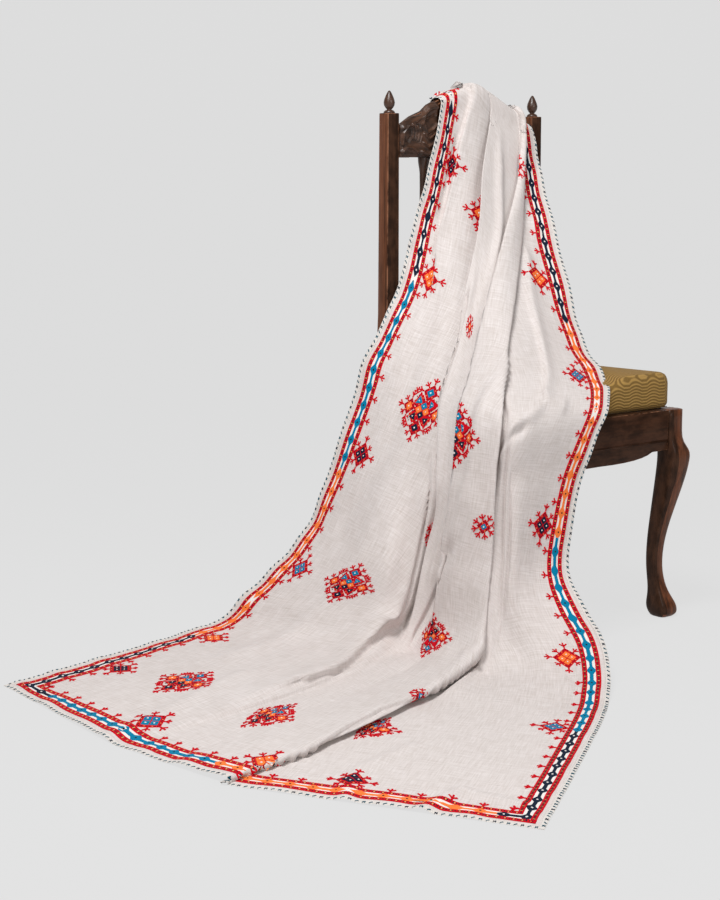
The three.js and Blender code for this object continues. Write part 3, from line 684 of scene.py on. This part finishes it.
# a tree cluster: a block on its point, triangles on its sides and a small square at each corner
treePlan = {"block": 0.0270, "blockRing": 0.0030, "corner": 0.0155, "ring": 0.0050, "reach": 0.0375, "lap": 0.0004,
            "triangle": 0.0196, "triangleGap": 0.0070, "inner": 0.0112, "sprig": 1.0, "flatSprig": 0.92,
            "fillAt": 0.72, "fill": 0.44, "ground": 0.0008, "dotRow": 0.0080,
            "dots": (-0.0088, -0.0030, 0.0030, 0.0088), "colours": ("blue", "orange", "navy")}


def treeCluster(bm, x, y, up):
    top, side, foot = treePlan["colours"]
    diagonal, ground = up + eighth, treePlan["ground"]
    cell, fill = treePlan["block"] / 4, treePlan["block"] * treePlan["fill"]
    for k in range(4):
        fillPlace = turned(x, y, diagonal + k * quarter, treePlan["block"] * treePlan["fillAt"])
        patch(bm, *fillPlace, diagonal, fill, fill, 0.0004, "red", parts=6)
    block(bm, x, y, diagonal, treePlan["block"], side, ring=treePlan["blockRing"])
    for way, colour in ((up, top), (up + math.pi, foot)):
        cellPlace = turned(x, y, way, cell * math.sqrt(2))
        patch(bm, *cellPlace, diagonal, cell - 0.0007, cell - 0.0007, 0.0007, colour, base=ground, parts=2)
        pad(bm, *cellPlace, 0.0016, 6, 0, 0.0004, "white", base=0.0015)
    for k in range(4):
        way = diagonal + k * quarter
        distance = treePlan["block"] / 2 + treePlan["blockRing"] + treePlan["triangleGap"]
        middle = turned(x, y, way, distance)
        pad(bm, *middle, treePlan["triangle"], 3, way, 0.0008, "red", top=0.94)
        for turn in (math.pi / 3, -math.pi / 3, math.pi):
            for shift in treePlan["dots"]:
                pad(bm, *turned(*middle, way + turn, treePlan["dotRow"], shift), 0.0014, 4, way, 0.0004,
                    ("dark", "ochre")[abs(shift) < 0.005], base=ground)
        pad(bm, *middle, treePlan["inner"], 3, way, 0.0006, top if k in (0, 3) else foot, base=ground)
        pad(bm, *middle, 0.0016, 6, 0, 0.0003, "white", base=0.0014)
        sprigs(bm, x, y, way, (0,), distance + treePlan["triangle"] * 0.88, treePlan["sprig"])
        square = up + k * quarter
        middle = turned(x, y, square, treePlan["reach"])
        block(bm, *middle, diagonal, treePlan["corner"], (top, side, foot, side)[k], cells=1, ring=treePlan["ring"],
              dot=0.0022)
        half = treePlan["corner"] / 2 + treePlan["ring"] - treePlan["lap"]
        sprigs(bm, *middle, square, squarePoints, half * math.sqrt(2), treePlan["sprig"])
        sprigs(bm, *middle, square, squareFlats[:2], half, treePlan["sprig"] * treePlan["flatSprig"])


# the four sides, each walked with the cloth's middle on its left
width, length = cloth["width"], cloth["length"]
sides = [
    {"name": "front_hem", "run": width, "corner": (0, 0), "turn": 0,
     "chain": ((75, "navy"), (600, "blue"), (1100, "orange"), (1200, "navy")),
     "squares": ((364, "blue"), (672, "orange"), (888, "navy"))},
    {"name": "right", "run": length, "corner": (width, 0), "turn": math.pi / 2,
     "chain": ((430, "navy"), (1010, "blue"), (1565, "orange"), (2010, "navy"), (2300, "blue")),
     "squares": ((442, "blue"), (742, "orange"), (1045, "navy"), (1421, "blue"), (1680, "orange"), (1930, "navy"))},
    {"name": "back_hem", "run": width, "corner": (width, length), "turn": math.pi,
     "chain": ((400, "blue"), (900, "orange"), (1200, "navy")),
     "squares": ((300, "blue"), (600, "orange"), (900, "navy"))},
    {"name": "left", "run": length, "corner": (0, length), "turn": math.pi * 1.5,
     "chain": ((819, "navy"), (1242, "blue"), (1745, "orange"), (2300, "navy")),
     "squares": ((300, "blue"), (574, "navy"), (815, "orange"), (1207, "navy"), (1472, "blue"), (1724, "orange"),
                 (1984, "navy"))},
]


def sideMatrix(side):
    return Matrix.Translation((*side["corner"], 0)) @ Matrix.Rotation(side["turn"], 4, "Z")


def bySide(side, run, inset):
    return (sideMatrix(side) @ Vector((run, inset, 0))).xy


def evenRuns(side, start, pitch):
    run = side["run"] - 2 * start
    count = round(run / pitch)
    return [start + run * k / count for k in range(count + 1)]


# a strip along one side, from a start past each corner: columns are distances in from the edge with their heights
def strip(bm, side, columns, pitch, start, colourAt, stepHeight=0.0):
    run = side["run"] - 2 * start
    rows = max(1, round(run / pitch))
    bands = len(columns) - 1
    made = bmesh.ops.create_grid(bm, x_segments=rows, y_segments=bands, size=0.5)["verts"]
    frameMatrix = sideMatrix(side)
    for vert in made:
        row, band = round((vert.co.x + 0.5) * rows), round((vert.co.y + 0.5) * bands)
        inset, height = columns[band]
        lift = stepHeight * (row % 2) if height > 0.0004 else 0
        vert.co = frameMatrix @ Vector((start + run * row / rows, inset, height + lift))
        vert.index = row * 100 + band
    for face in {face for vert in made for face in vert.link_faces}:
        low = min(vert.index for vert in face.verts)
        face.material_index = threadNames.index(colourAt(low // 100, low % 100))


bandPlan = {"outer": 0.0155, "inner": 0.0415, "half": 0.0050, "pitch": 0.0023, "step": 0.0003,
            "sprigPitch": 0.0475, "sprigsFrom": 0.055, "sprigGap": 0.032, "squareAt": 0.0720,
            "colours": ("dark", "red", "dark", "red", "dark", "ochre"),
            "columns": ((-0.0050, 0.0001), (-0.0044, 0.0010), (-0.0019, 0.0008),
                        (0.0019, 0.0008), (0.0044, 0.0010), (0.0050, 0.0001))}


def bandColour(row, band):
    return bandPlan["colours"][row % 6] if band == 2 else "red"


bm = bmesh.new()
for side in sides:
    for name in ("outer", "inner"):
        columns = [(bandPlan[name] + offset, height) for offset, height in bandPlan["columns"]]
        strip(bm, side, columns, bandPlan["pitch"], bandPlan[name] - bandPlan["half"], bandColour, bandPlan["step"])
bandMesh = meshFrom(bm, "borderBands", smooth=False)
layOnCloth(bandMesh)
borderBands = newPiece("borderBands", bandMesh, threads)

# the chain of diamonds on its white ground, then the border squares and sprigs
chainPlan = {"half": 0.0172, "width": 0.0108, "neck": 0.0036, "at": 0.0285, "from": 0.028, "pitch": 0.0375,
             "groundEnd": 0.0184, "groundPitch": 0.008,
             "ground": ((0.0195, 0.0001), (0.0203, 0.0004), (0.0285, 0.0004), (0.0367, 0.0004), (0.0375, 0.0001))}
bm = bmesh.new()
for side in sides:
    strip(bm, side, chainPlan["ground"], chainPlan["groundPitch"], chainPlan["groundEnd"], lambda row, band: "white")
    runs = evenRuns(side, chainPlan["from"], chainPlan["pitch"])
    middles = [bySide(side, run, chainPlan["at"]) for run in runs]
    for run, middle, ahead in zip(runs, middles, [*middles[1:], None]):
        colour = next(name for end, name in side["chain"] if run * 1000 <= end)
        pad(bm, *middle, chainPlan["width"], 4, side["turn"], 0.0006, colour, base=0.0004,
            stretch=chainPlan["half"] / chainPlan["width"])
        pad(bm, *middle, 0.0022, 6, 0, 0.0003, "white" if colour == "navy" else "dark", base=0.0010)
        if ahead is not None:
            stitch(bm, middle, ahead, chainPlan["neck"] * 2, 0.0005, colour, base=0.0004)
    inward = side["turn"] + quarter
    squares = [(place / 1000, colour) for place, colour in side["squares"]]
    for place, colour in squares:
        borderSquare(bm, *bySide(side, place, bandPlan["squareAt"]), inward, colour)
    for run in evenRuns(side, bandPlan["sprigsFrom"], bandPlan["sprigPitch"]):
        if min(abs(run - place) for place, colour in squares) > bandPlan["sprigGap"]:
            sprig(bm, *bySide(side, run, bandPlan["inner"] + bandPlan["half"] - 0.0004), inward)

# motifs on the field, in millimetres across and along: trees with the way they stand, stars with their colour
trees = ((186, 1108, 1), (630, 1146, 1), (228, 709, 1), (244, 218, 1), (638, 681, -1), (528, 228, 1),
         (826, 328, 1), (186, 1530, 1))
stars = ((730, 980, "blue"), (408, 1375, "orange"), (714, 1460, "navy"), (702, 1826, "blue"), (404, 900, "orange"),
         (736, 475, "blue"))
for across, along, up in trees:
    treeCluster(bm, across / 1000, along / 1000, quarter * up)
for across, along, colour in stars:
    star(bm, across / 1000, along / 1000, colour, 1.05)
motifMesh = meshFrom(bm, "chainAndMotifs", smooth=False)
layOnCloth(motifMesh)
chainAndMotifs = newPiece("chainAndMotifs", motifMesh, threads)
print("embroidery worked:", len(bandMesh.polygons), "+", len(motifMesh.polygons), "faces")


# the crocheted edging, a piece for each side: a strip past the cut edge, then crossed threads
edgingPlan = {"reach": 0.0068, "lap": 0.0020, "pitch": 0.0110, "cross": 0.0056, "at": -0.0034, "thread": 0.0024,
              "secondThread": 0.8, "step": 0.0003, "rowPitch": 0.005, "colours": ("teal", "teal", "navy", "teal")}
edgeReach, edgeLap = edgingPlan["reach"], edgingPlan["lap"]
edgeColumns = ((-edgeReach, 0.0002), (-edgeReach * 0.85, 0.0010), (-edgeReach * 0.4, 0.0008), (edgeLap, 0.0007),
               (edgeLap + 0.0006, 0.0001))
for side in sides:
    bm = bmesh.new()
    strip(bm, side, edgeColumns, edgingPlan["rowPitch"], -edgeReach, lambda row, band: "cream", edgingPlan["step"])
    count = round(side["run"] / edgingPlan["pitch"])
    half = edgingPlan["cross"] / 2
    for k in range(count):
        run = side["run"] * (k + 0.5) / count
        colour = edgingPlan["colours"][k % 4]
        corners = [bySide(side, run + dx, edgingPlan["at"] + dy)
                   for dx, dy in ((-half, -half), (half, half), (-half, half), (half, -half))]
        stitch(bm, *corners[:2], edgingPlan["thread"], 0.0008, colour, base=0.0008)
        if k % 2 == 0:
            stitch(bm, *corners[2:], edgingPlan["thread"] * edgingPlan["secondThread"], 0.0006, colour, base=0.0008)
    mesh = meshFrom(bm, "crochet_" + side["name"], smooth=False)
    layOnCloth(mesh)
    piece = newPiece("crochet_" + side["name"], mesh, threads, ("edging_" + side["name"],))
print("edging crocheted")


# wood: grain, pores and rubbed patches that every part of the chair shares
grainGroup, grainIn, grainOut = newGroup("woodGrain", [("Vector", "Vector", None)],
                                         [("Figure", "Float"), ("Pores", "Float"), ("Patches", "Float")])
grainPlan = {"Figure": ((95, 95, 3.2), 4, 0.55, 0.4, 0.25, 0.75), "Pores": ((520, 520, 22), 2, 0.6, 0, 0.35, 0.65),
             "Patches": ((60, 60, 30), 3, 0.6, 0, 0.40, 0.62)}
for part, (scale, detail, roughness, distortion, low, high) in grainPlan.items():
    noise = drawnNoise(grainGroup, grainIn.outputs["Vector"], scale, detail, roughness, distortion)
    join(grainGroup, ranged(grainGroup, noise, low, high), grainOut.inputs[part])

woodLook = {"dark": (0.015, 0.007, 0.0035, 1), "light": (0.062, 0.023, 0.011), "worn": (0.30, 0.13, 0.07, 1),
            "pore": (0.012, 0.007, 0.005, 1), "pores": 0.35, "rough": (0.30, 0.42), "bump": 0.15,
            "finish": {"Coat Weight": 0.10, "Coat Roughness": 0.22}}


def woodMaterial(name, turn, redness=1.0, wear=0.10, tone=0.8, shine=0.12):
    material, tree, shader = newMaterial(name, {**woodLook["finish"], "Specular IOR Level": shine})
    coordinates = addNode(tree, "TexCoord")
    mapping = addNode(tree, "Mapping", {"Vector": coordinates.outputs["Object"], "Rotation": turn})
    figure, pores, patches = addNode(tree, "Group", {"Vector": mapping.outputs[0]}, node_tree=grainGroup).outputs
    red, green, blue = (part * tone for part in woodLook["light"])
    stained = mixColours(tree, figure, woodLook["dark"], (red * redness, green, blue / redness, 1))
    pored = mixColours(tree, sums(tree, "MULTIPLY", pores, woodLook["pores"]), stained, woodLook["pore"])
    worn = sums(tree, "MULTIPLY", patches, wear)
    join(tree, mixColours(tree, worn, pored, woodLook["worn"]), shader.inputs["Base Color"])
    join(tree, ranged(tree, figure, 0, 1, *woodLook["rough"]), shader.inputs["Roughness"])
    bumped(tree, shader, pores, woodLook["bump"], 0.0006)
    return material


upright, crosswise, sideways = (0, 0, 0), (0, quarter, 0), (quarter, 0, 0)
# painted light: the posts' and legs' wood is brightened to the colour of their lit faces, a lit copy beside the
# painted shade copy
uprightLitWood = woodMaterial("uprightLitWood", upright, 1.1, tone=3.8)
kneeLitWood = woodMaterial("kneeLitWood", upright, 1.2, tone=3.0)
crosswiseWood = woodMaterial("crosswiseWood", crosswise, shine=0.03)
sideWood = woodMaterial("sideWood", sideways)
turnedWood = woodMaterial("turnedWood", upright, tone=1.0, shine=0.5)
carvedWood = woodMaterial("carvedWood", crosswise, 0.75, wear=0.2, tone=1.3, shine=0.3)
# painted shade: a dark, less red copy of the wood for faces turned away from the light
paintedShadeWood = woodMaterial("paintedShadeWood", upright, tone=0.85, redness=0.8, shine=0.04)
rubbedEdge = woodMaterial("rubbedEdge", upright, 1.1, wear=0.75)

# edges are softened as hand tools leave them, and a leg's top block stays square above the apron's foot; a face that
# looks the inner way past a share takes painted shade
toolMarks = {"merge": 0.00002, "flat": 0.6, "segments": 3, "bevelFrom": 28, "creaseFrom": 34, "mostCrease": 0.9,
             "squareFrom": 0.37, "squareRate": 90, "paintedShadeFrom": 0.4}


# a node's own mesh, merged and softened; faces that look the inner way get painted shade, a darker copy of the wood
def softened(node, material, edge=0.0012, levels=0, crease=0.0, inner=None):
    bm = bmesh.new()
    bm.from_mesh(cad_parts[node].data)
    bmesh.ops.remove_doubles(bm, verts=bm.verts, dist=toolMarks["merge"])
    bmesh.ops.dissolve_limit(bm, angle_limit=math.radians(toolMarks["flat"]), verts=bm.verts, edges=bm.edges)
    if levels:
        bmesh.ops.join_triangles(bm, faces=bm.faces, angle_face_threshold=0.7, angle_shape_threshold=0.9)
        layer = bm.edges.layers.float.new("crease_edge")
        for meshEdge in bm.edges:
            if meshEdge.calc_face_angle(0) > math.radians(toolMarks["creaseFrom"]):
                above = min(v.co.z for v in meshEdge.verts) - toolMarks["squareFrom"]
                meshEdge[layer] = max(crease, min(toolMarks["mostCrease"], above * toolMarks["squareRate"]))
    # painted shade on the faces that look the inner way
    if inner:
        bm.normal_update()
        for face in bm.faces:
            face.material_index = 2 if face.normal.dot(inner) > toolMarks["paintedShadeFrom"] else 0
    mesh = meshFrom(bm, node + "Wood")
    piece = newPiece(node + "Wood", mesh, [material, rubbedEdge, paintedShadeWood], (node,))
    if edge:
        bevel = piece.modifiers.new("softened", "BEVEL")
        bevel.width = edge
        bevel.segments = toolMarks["segments"]
        bevel.limit_method = "ANGLE"
        bevel.angle_limit = math.radians(toolMarks["bevelFrom"])
        bevel.harden_normals = True
        bevel.material = 1
    if levels:
        rounding = piece.modifiers.new("rounded", "SUBSURF")
        rounding.levels = rounding.render_levels = levels


# posts and legs: the lit copy on faces that take the light, the painted shade copy on faces that look the inner way
for name in ("back_post_left", "back_post_right"):
    softened(name, uprightLitWood, edge=0.0016, inner=Vector((0, -1, 0)))
for name in ("spindle_1", "spindle_2", "spindle_3", "spindle_4"):
    softened(name, turnedWood, edge=0, levels=1, crease=0.5)
for name, inner in (("front_leg_left", Vector((-1, 0, 0))), ("front_leg_right", Vector((1, 0, 0)))):
    softened(name, kneeLitWood, edge=0, levels=2, crease=0.3, inner=inner)
for name in ("crest_rail", "lower_back_rail", "seat_rail_front", "seat_rail_back"):
    softened(name, crosswiseWood)
for name in ("seat_rail_left", "seat_rail_right"):
    softened(name, sideWood)
# bud finials, turned from a profile: radius and height over the post, in millimetres
budProfile = ((11.4, 0), (11.6, 1.2), (10.8, 3.2), (8.0, 5.6), (5.0, 6.6), (5.0, 7.4), (7.7, 10.3), (10.6, 15.2),
              (11.4, 21.0), (10.3, 26.8), (8.3, 32.0), (6.0, 37.2), (3.2, 42.2), (1.4, 44.2), (0, 44.5))
for name in ("finial_left", "finial_right"):
    low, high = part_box(name)
    footX, footY = (low.x + high.x) / 2, (low.y + high.y) / 2
    bm = bmesh.new()
    ring = [bm.verts.new((footX + r / 1000, footY, low.z + z / 1000)) for r, z in budProfile]
    profile = [bm.edges.new(pair) for pair in zip(ring, ring[1:])]
    bmesh.ops.spin(bm, geom=ring + profile, cent=(footX, footY, low.z), axis=(0, 0, 1), angle=math.pi * 2,
                   steps=28, use_merge=True)
    bmesh.ops.remove_doubles(bm, verts=bm.verts, dist=0.00001)
    bmesh.ops.holes_fill(bm, edges=bm.edges)
    bmesh.ops.recalc_face_normals(bm, faces=bm.faces)
    newPiece(name + "Bud", meshFrom(bm, name + "Bud"), [turnedWood], (name,))
print("chair shaped")


# carving on the crest rail's front, in metres, with its lobed outline in millimetres
carving = {"left": -0.181, "right": -0.079, "face": 0.187, "depth": 0.0042, "low": 0.9365,
           "border": 0.006, "borderPower": 0.6, "sunk": 0.0012, "backing": 0.008,
           "lobeX": (-182, -172, -161, -145, -132, -124, -118, -108.6, -99, -90, -79),
           "lobeZ": (1001, 1008, 1012, 1019, 1021, 1024, 1035, 1043.6, 1048, 1049, 1047)}
# strokes that stand up or cut in, in millimetres: half width, height and the places they run through
carvedStrokes = [
    (4.5, 5.0, (-180, 992), (-160, 1003), (-140, 1010), (-124, 1019)),
    (5.0, 6.5, (-124, 1004), (-119, 1022), (-106, 1034), (-92, 1038), (-80, 1037)),
    (2.4, 5.0, (-176, 962), (-173, 984), (-162, 998), (-150, 1000)),
    (1.8, 4.0, (-153, 1003), (-148, 990), (-150, 974)),
    (1.8, 4.0, (-145, 1002), (-140, 988), (-143, 972)),
    (1.8, 4.0, (-137, 999), (-132, 985), (-136, 970)),
    (1.8, 3.5, (-129, 995), (-125, 980), (-130, 966)),
    (3.0, 6.0, (-178, 946), (-164, 956), (-148, 954), (-136, 946)),
    (2.6, 5.5, (-118, 1000), (-112, 985), (-98, 992), (-84, 1004)),
    (2.2, 5.0, (-119, 984), (-106, 974), (-92, 984), (-82, 992)),
    (2.4, 5.5, (-121, 966), (-108, 958), (-94, 966), (-83, 976)),
    (2.8, 5.5, (-124, 948), (-108, 942), (-92, 950), (-82, 958)),
    (2.6, -3.0, (-168, 975), (-160, 968), (-156, 976)),
    (3.2, -3.0, (-112, 1012), (-100, 1018), (-90, 1022)),
]

bm = bmesh.new()
bmesh.ops.create_grid(bm, x_segments=110, y_segments=100, size=0.5)
carvedMesh = meshFrom(bm, "crestCarving")
grid = meshPlaces(carvedMesh) + 0.5
x = carving["left"] + (carving["right"] - carving["left"]) * grid[:, 0]
top = np.interp(x * 1000, carving["lobeX"], carving["lobeZ"]) / 1000
z = carving["low"] + (top - carving["low"]) * grid[:, 1]
fromEdge = np.min([x - carving["left"], carving["right"] - x, z - carving["low"], top - z], axis=0)
border = np.clip(fromEdge / carving["border"], 0, 1) ** carving["borderPower"]
relief = np.full(x.shape, carving["depth"])
for halfWidth, tall, *line in carvedStrokes:
    relief += tall / 1000 * np.exp(-(fromLine(x, z, np.array(line) / 1000)[0] / halfWidth * 1000) ** 2)
height = border * relief - carving["sunk"]
movedMesh(carvedMesh, np.stack([x, carving["face"] - height, z], axis=1) + chairShift)
crestCarving = newPiece("crestCarving", carvedMesh, [carvedWood])
backing = crestCarving.modifiers.new("backing", "SOLIDIFY")
backing.thickness = carving["backing"]
backing.offset = -1

# the bead along the front rail
beadPlan = {"z": 0.3718, "y": -0.2150, "half": 0.194, "radius": 0.0022}
bm = bmesh.new()
bead = Matrix.Translation(chairMiddle + Vector((0, beadPlan["y"], beadPlan["z"]))) @ Matrix.Rotation(quarter, 4, "Y")
bmesh.ops.create_cone(bm, cap_ends=True, segments=12, radius1=beadPlan["radius"], radius2=beadPlan["radius"],
                      depth=beadPlan["half"] * 2, matrix=bead)
newPiece("frontBead", meshFrom(bm, "frontBead"), [crosswiseWood])
print("carving cut")


# the drop-in seat's cloth: ribs that run to and fro in a chevron
cushionLook = {"light": (0.36, 0.215, 0.062, 1), "dark": (0.15, 0.085, 0.022, 1), "rib": 500, "chevron": 62,
               "chevronHeight": 5, "weave": 700, "bump": 0.6,
               "finish": {"Roughness": 0.8, "Specular IOR Level": 0.1, "Sheen Weight": 0.05}}
damask, tree, shader = newMaterial("damask", cushionLook["finish"])
places = addNode(tree, "TexCoord").outputs["Object"]
placeX, placeY, placeZ = addNode(tree, "SeparateXYZ", {"Vector": places}).outputs
fold = sums(tree, "ABSOLUTE", sums(tree, "SINE", sums(tree, "MULTIPLY", placeX, cushionLook["chevron"])))
run = sums(tree, "MULTIPLY", sums(tree, "SUBTRACT", placeY, placeZ), cushionLook["rib"] * 2)
ladder = sums(tree, "ADD", run, ranged(tree, fold, 0.45, 1.0, 0, cushionLook["chevronHeight"]))
weaveNoise = addNode(tree, "TexNoise", {"Vector": places, "Scale": cushionLook["weave"], "Detail": 2}).outputs[0]
raised = sums(tree, "ADD", ranged(tree, sums(tree, "SINE", ladder), -0.6, 0.8),
              sums(tree, "MULTIPLY", weaveNoise, 0.5))
join(tree, mixColours(tree, ranged(tree, raised, 0.1, 1.2), cushionLook["dark"], cushionLook["light"]),
     shader.inputs["Base Color"])
bumped(tree, shader, raised, cushionLook["bump"], 0.0015)

# its pad: rounded at its corners and edges, crowned, narrower at the back and puffed up at its near corner
seatPlan = {"round": 0.014, "corner": 0.016, "over": 0.003, "crown": 0.010, "lift": 0.012, "puffed": 0.018,
            "puffFrom": 0.03, "puffOver": 0.09, "narrowing": 0.83, "cuts": 24}
low, high = (np.array(corner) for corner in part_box("seat_cushion"))
bm = bmesh.new()
bmesh.ops.create_cube(bm, size=2)
bmesh.ops.subdivide_edges(bm, edges=bm.edges, cuts=seatPlan["cuts"], use_grid_fill=True)
seatMesh = meshFrom(bm, "dropInSeat")
unitPlaces = meshPlaces(seatMesh)
unitX, unitY, unitZ = unitPlaces.T
half = (high - low) / 2 + np.array([seatPlan["over"], seatPlan["over"], 0])
reach = unitPlaces * half
corner, softening = seatPlan["corner"], seatPlan["round"]
core = np.clip(reach[:, :2], -(half[:2] - corner), half[:2] - corner)
away = reach[:, :2] - core
far = np.maximum(np.linalg.norm(away, axis=1), 1e-9)
square = np.max(np.abs(away), axis=1)
plan = core + away * (square / far)[:, None]
edgeShare = np.max(np.abs(unitPlaces[:, :2]), axis=1)
drop = np.clip((np.abs(reach[:, 2]) - (half[2] - softening)) / softening, 0, 1)
pull = softening * (1 - np.sqrt(np.clip(1 - drop ** 2, 0, 1))) * edgeShare ** 6
puffed = np.clip((reach[:, 0] - seatPlan["puffFrom"]) / seatPlan["puffOver"], 0, 1)
top = half[2] + seatPlan["lift"] + seatPlan["puffed"] * puffed ** 2 * (3 - 2 * puffed)
top = top - seatPlan["crown"] * (1 - (1 - unitX ** 2) * (1 - unitY ** 2))
z = np.where(unitZ > 0, unitZ * top, reach[:, 2])
plan = plan * (1 - pull / np.maximum(np.linalg.norm(plan, axis=1), 0.05))[:, None]
plan[:, 0] *= 1 - (1 - seatPlan["narrowing"]) * (unitY + 1) / 2
movedMesh(seatMesh, np.column_stack([plan, z]) + (low + high) / 2)
seatCushion = newPiece("dropInSeat", seatMesh, [damask], ("seat_cushion",))
print("seat covered")


# pale floor that curves up into the backdrop; the shares say where along its length the curve is
stagePlan = {"half": 7.0, "back": 3.4, "curve": 1.6, "front": -6.0, "top": 6.0, "curveFrom": 0.5, "curveTo": 0.8,
             "finish": {"Base Color": (0.06, 0.06, 0.06, 1), "Roughness": 0.9, "Specular IOR Level": 0,
                        "Emission Color": (1, 1, 1, 1), "Emission Strength": 0.69}}
bm = bmesh.new()
bmesh.ops.create_grid(bm, x_segments=2, y_segments=48, size=0.5)
stageMesh = meshFrom(bm, "studioFloor")
across, share = (meshPlaces(stageMesh)[:, :2] + 0.5).T
curveFrom, curveTo = stagePlan["curveFrom"], stagePlan["curveTo"]
angle = np.clip((share - curveFrom) / (curveTo - curveFrom), 0, 1) * quarter
x = (across - 0.5) * 2 * stagePlan["half"]
y = stagePlan["front"] + (stagePlan["back"] - stagePlan["front"]) * np.clip(share / curveFrom, 0, 1)
y = y + np.sin(angle) * stagePlan["curve"]
z = (1 - np.cos(angle)) * stagePlan["curve"] + np.clip((share - curveTo) / (1 - curveTo), 0, 1) * stagePlan["top"]
turnBy = -math.atan2(headingX, headingY)
stageX = x * math.cos(turnBy) - y * math.sin(turnBy)
stageY = x * math.sin(turnBy) + y * math.cos(turnBy)
movedMesh(stageMesh, np.stack([stageX, stageY, z], axis=1))
stageMesh.materials.append(newMaterial("studioGrey", stagePlan["finish"])[0])
studioFloor = addObject("studioFloor", stageMesh)

world = bpy.data.worlds.new("studio")
world.use_nodes = True
background = world.node_tree.nodes["Background"]
background.inputs[0].default_value = (1, 1, 1, 1)
background.inputs[1].default_value = 0.20
bpy.context.scene.world = world
bpy.context.scene.view_settings.view_transform = "Standard"

lamps = [
    {"name": "key", "place": (-2.9, -1.1, 2.5), "size": 1.0, "power": 20},
    {"name": "fill", "place": (0.4, -3.3, 1.8), "size": 1.6, "power": 34},
    {"name": "top", "place": (-1.1, -0.5, 3.1), "size": 1.0, "power": 80},
]
lampAim = Vector((0, 0, 0.5))
for lamp in lamps:
    data = bpy.data.lights.new(lamp["name"], "AREA")
    data.size = lamp["size"]
    data.energy = lamp["power"]
    light = addObject(lamp["name"], data)
    light.location = lamp["place"]
    light.rotation_euler = (lampAim - light.location).to_track_quat("-Z", "Y").to_euler()
print("studio lit")
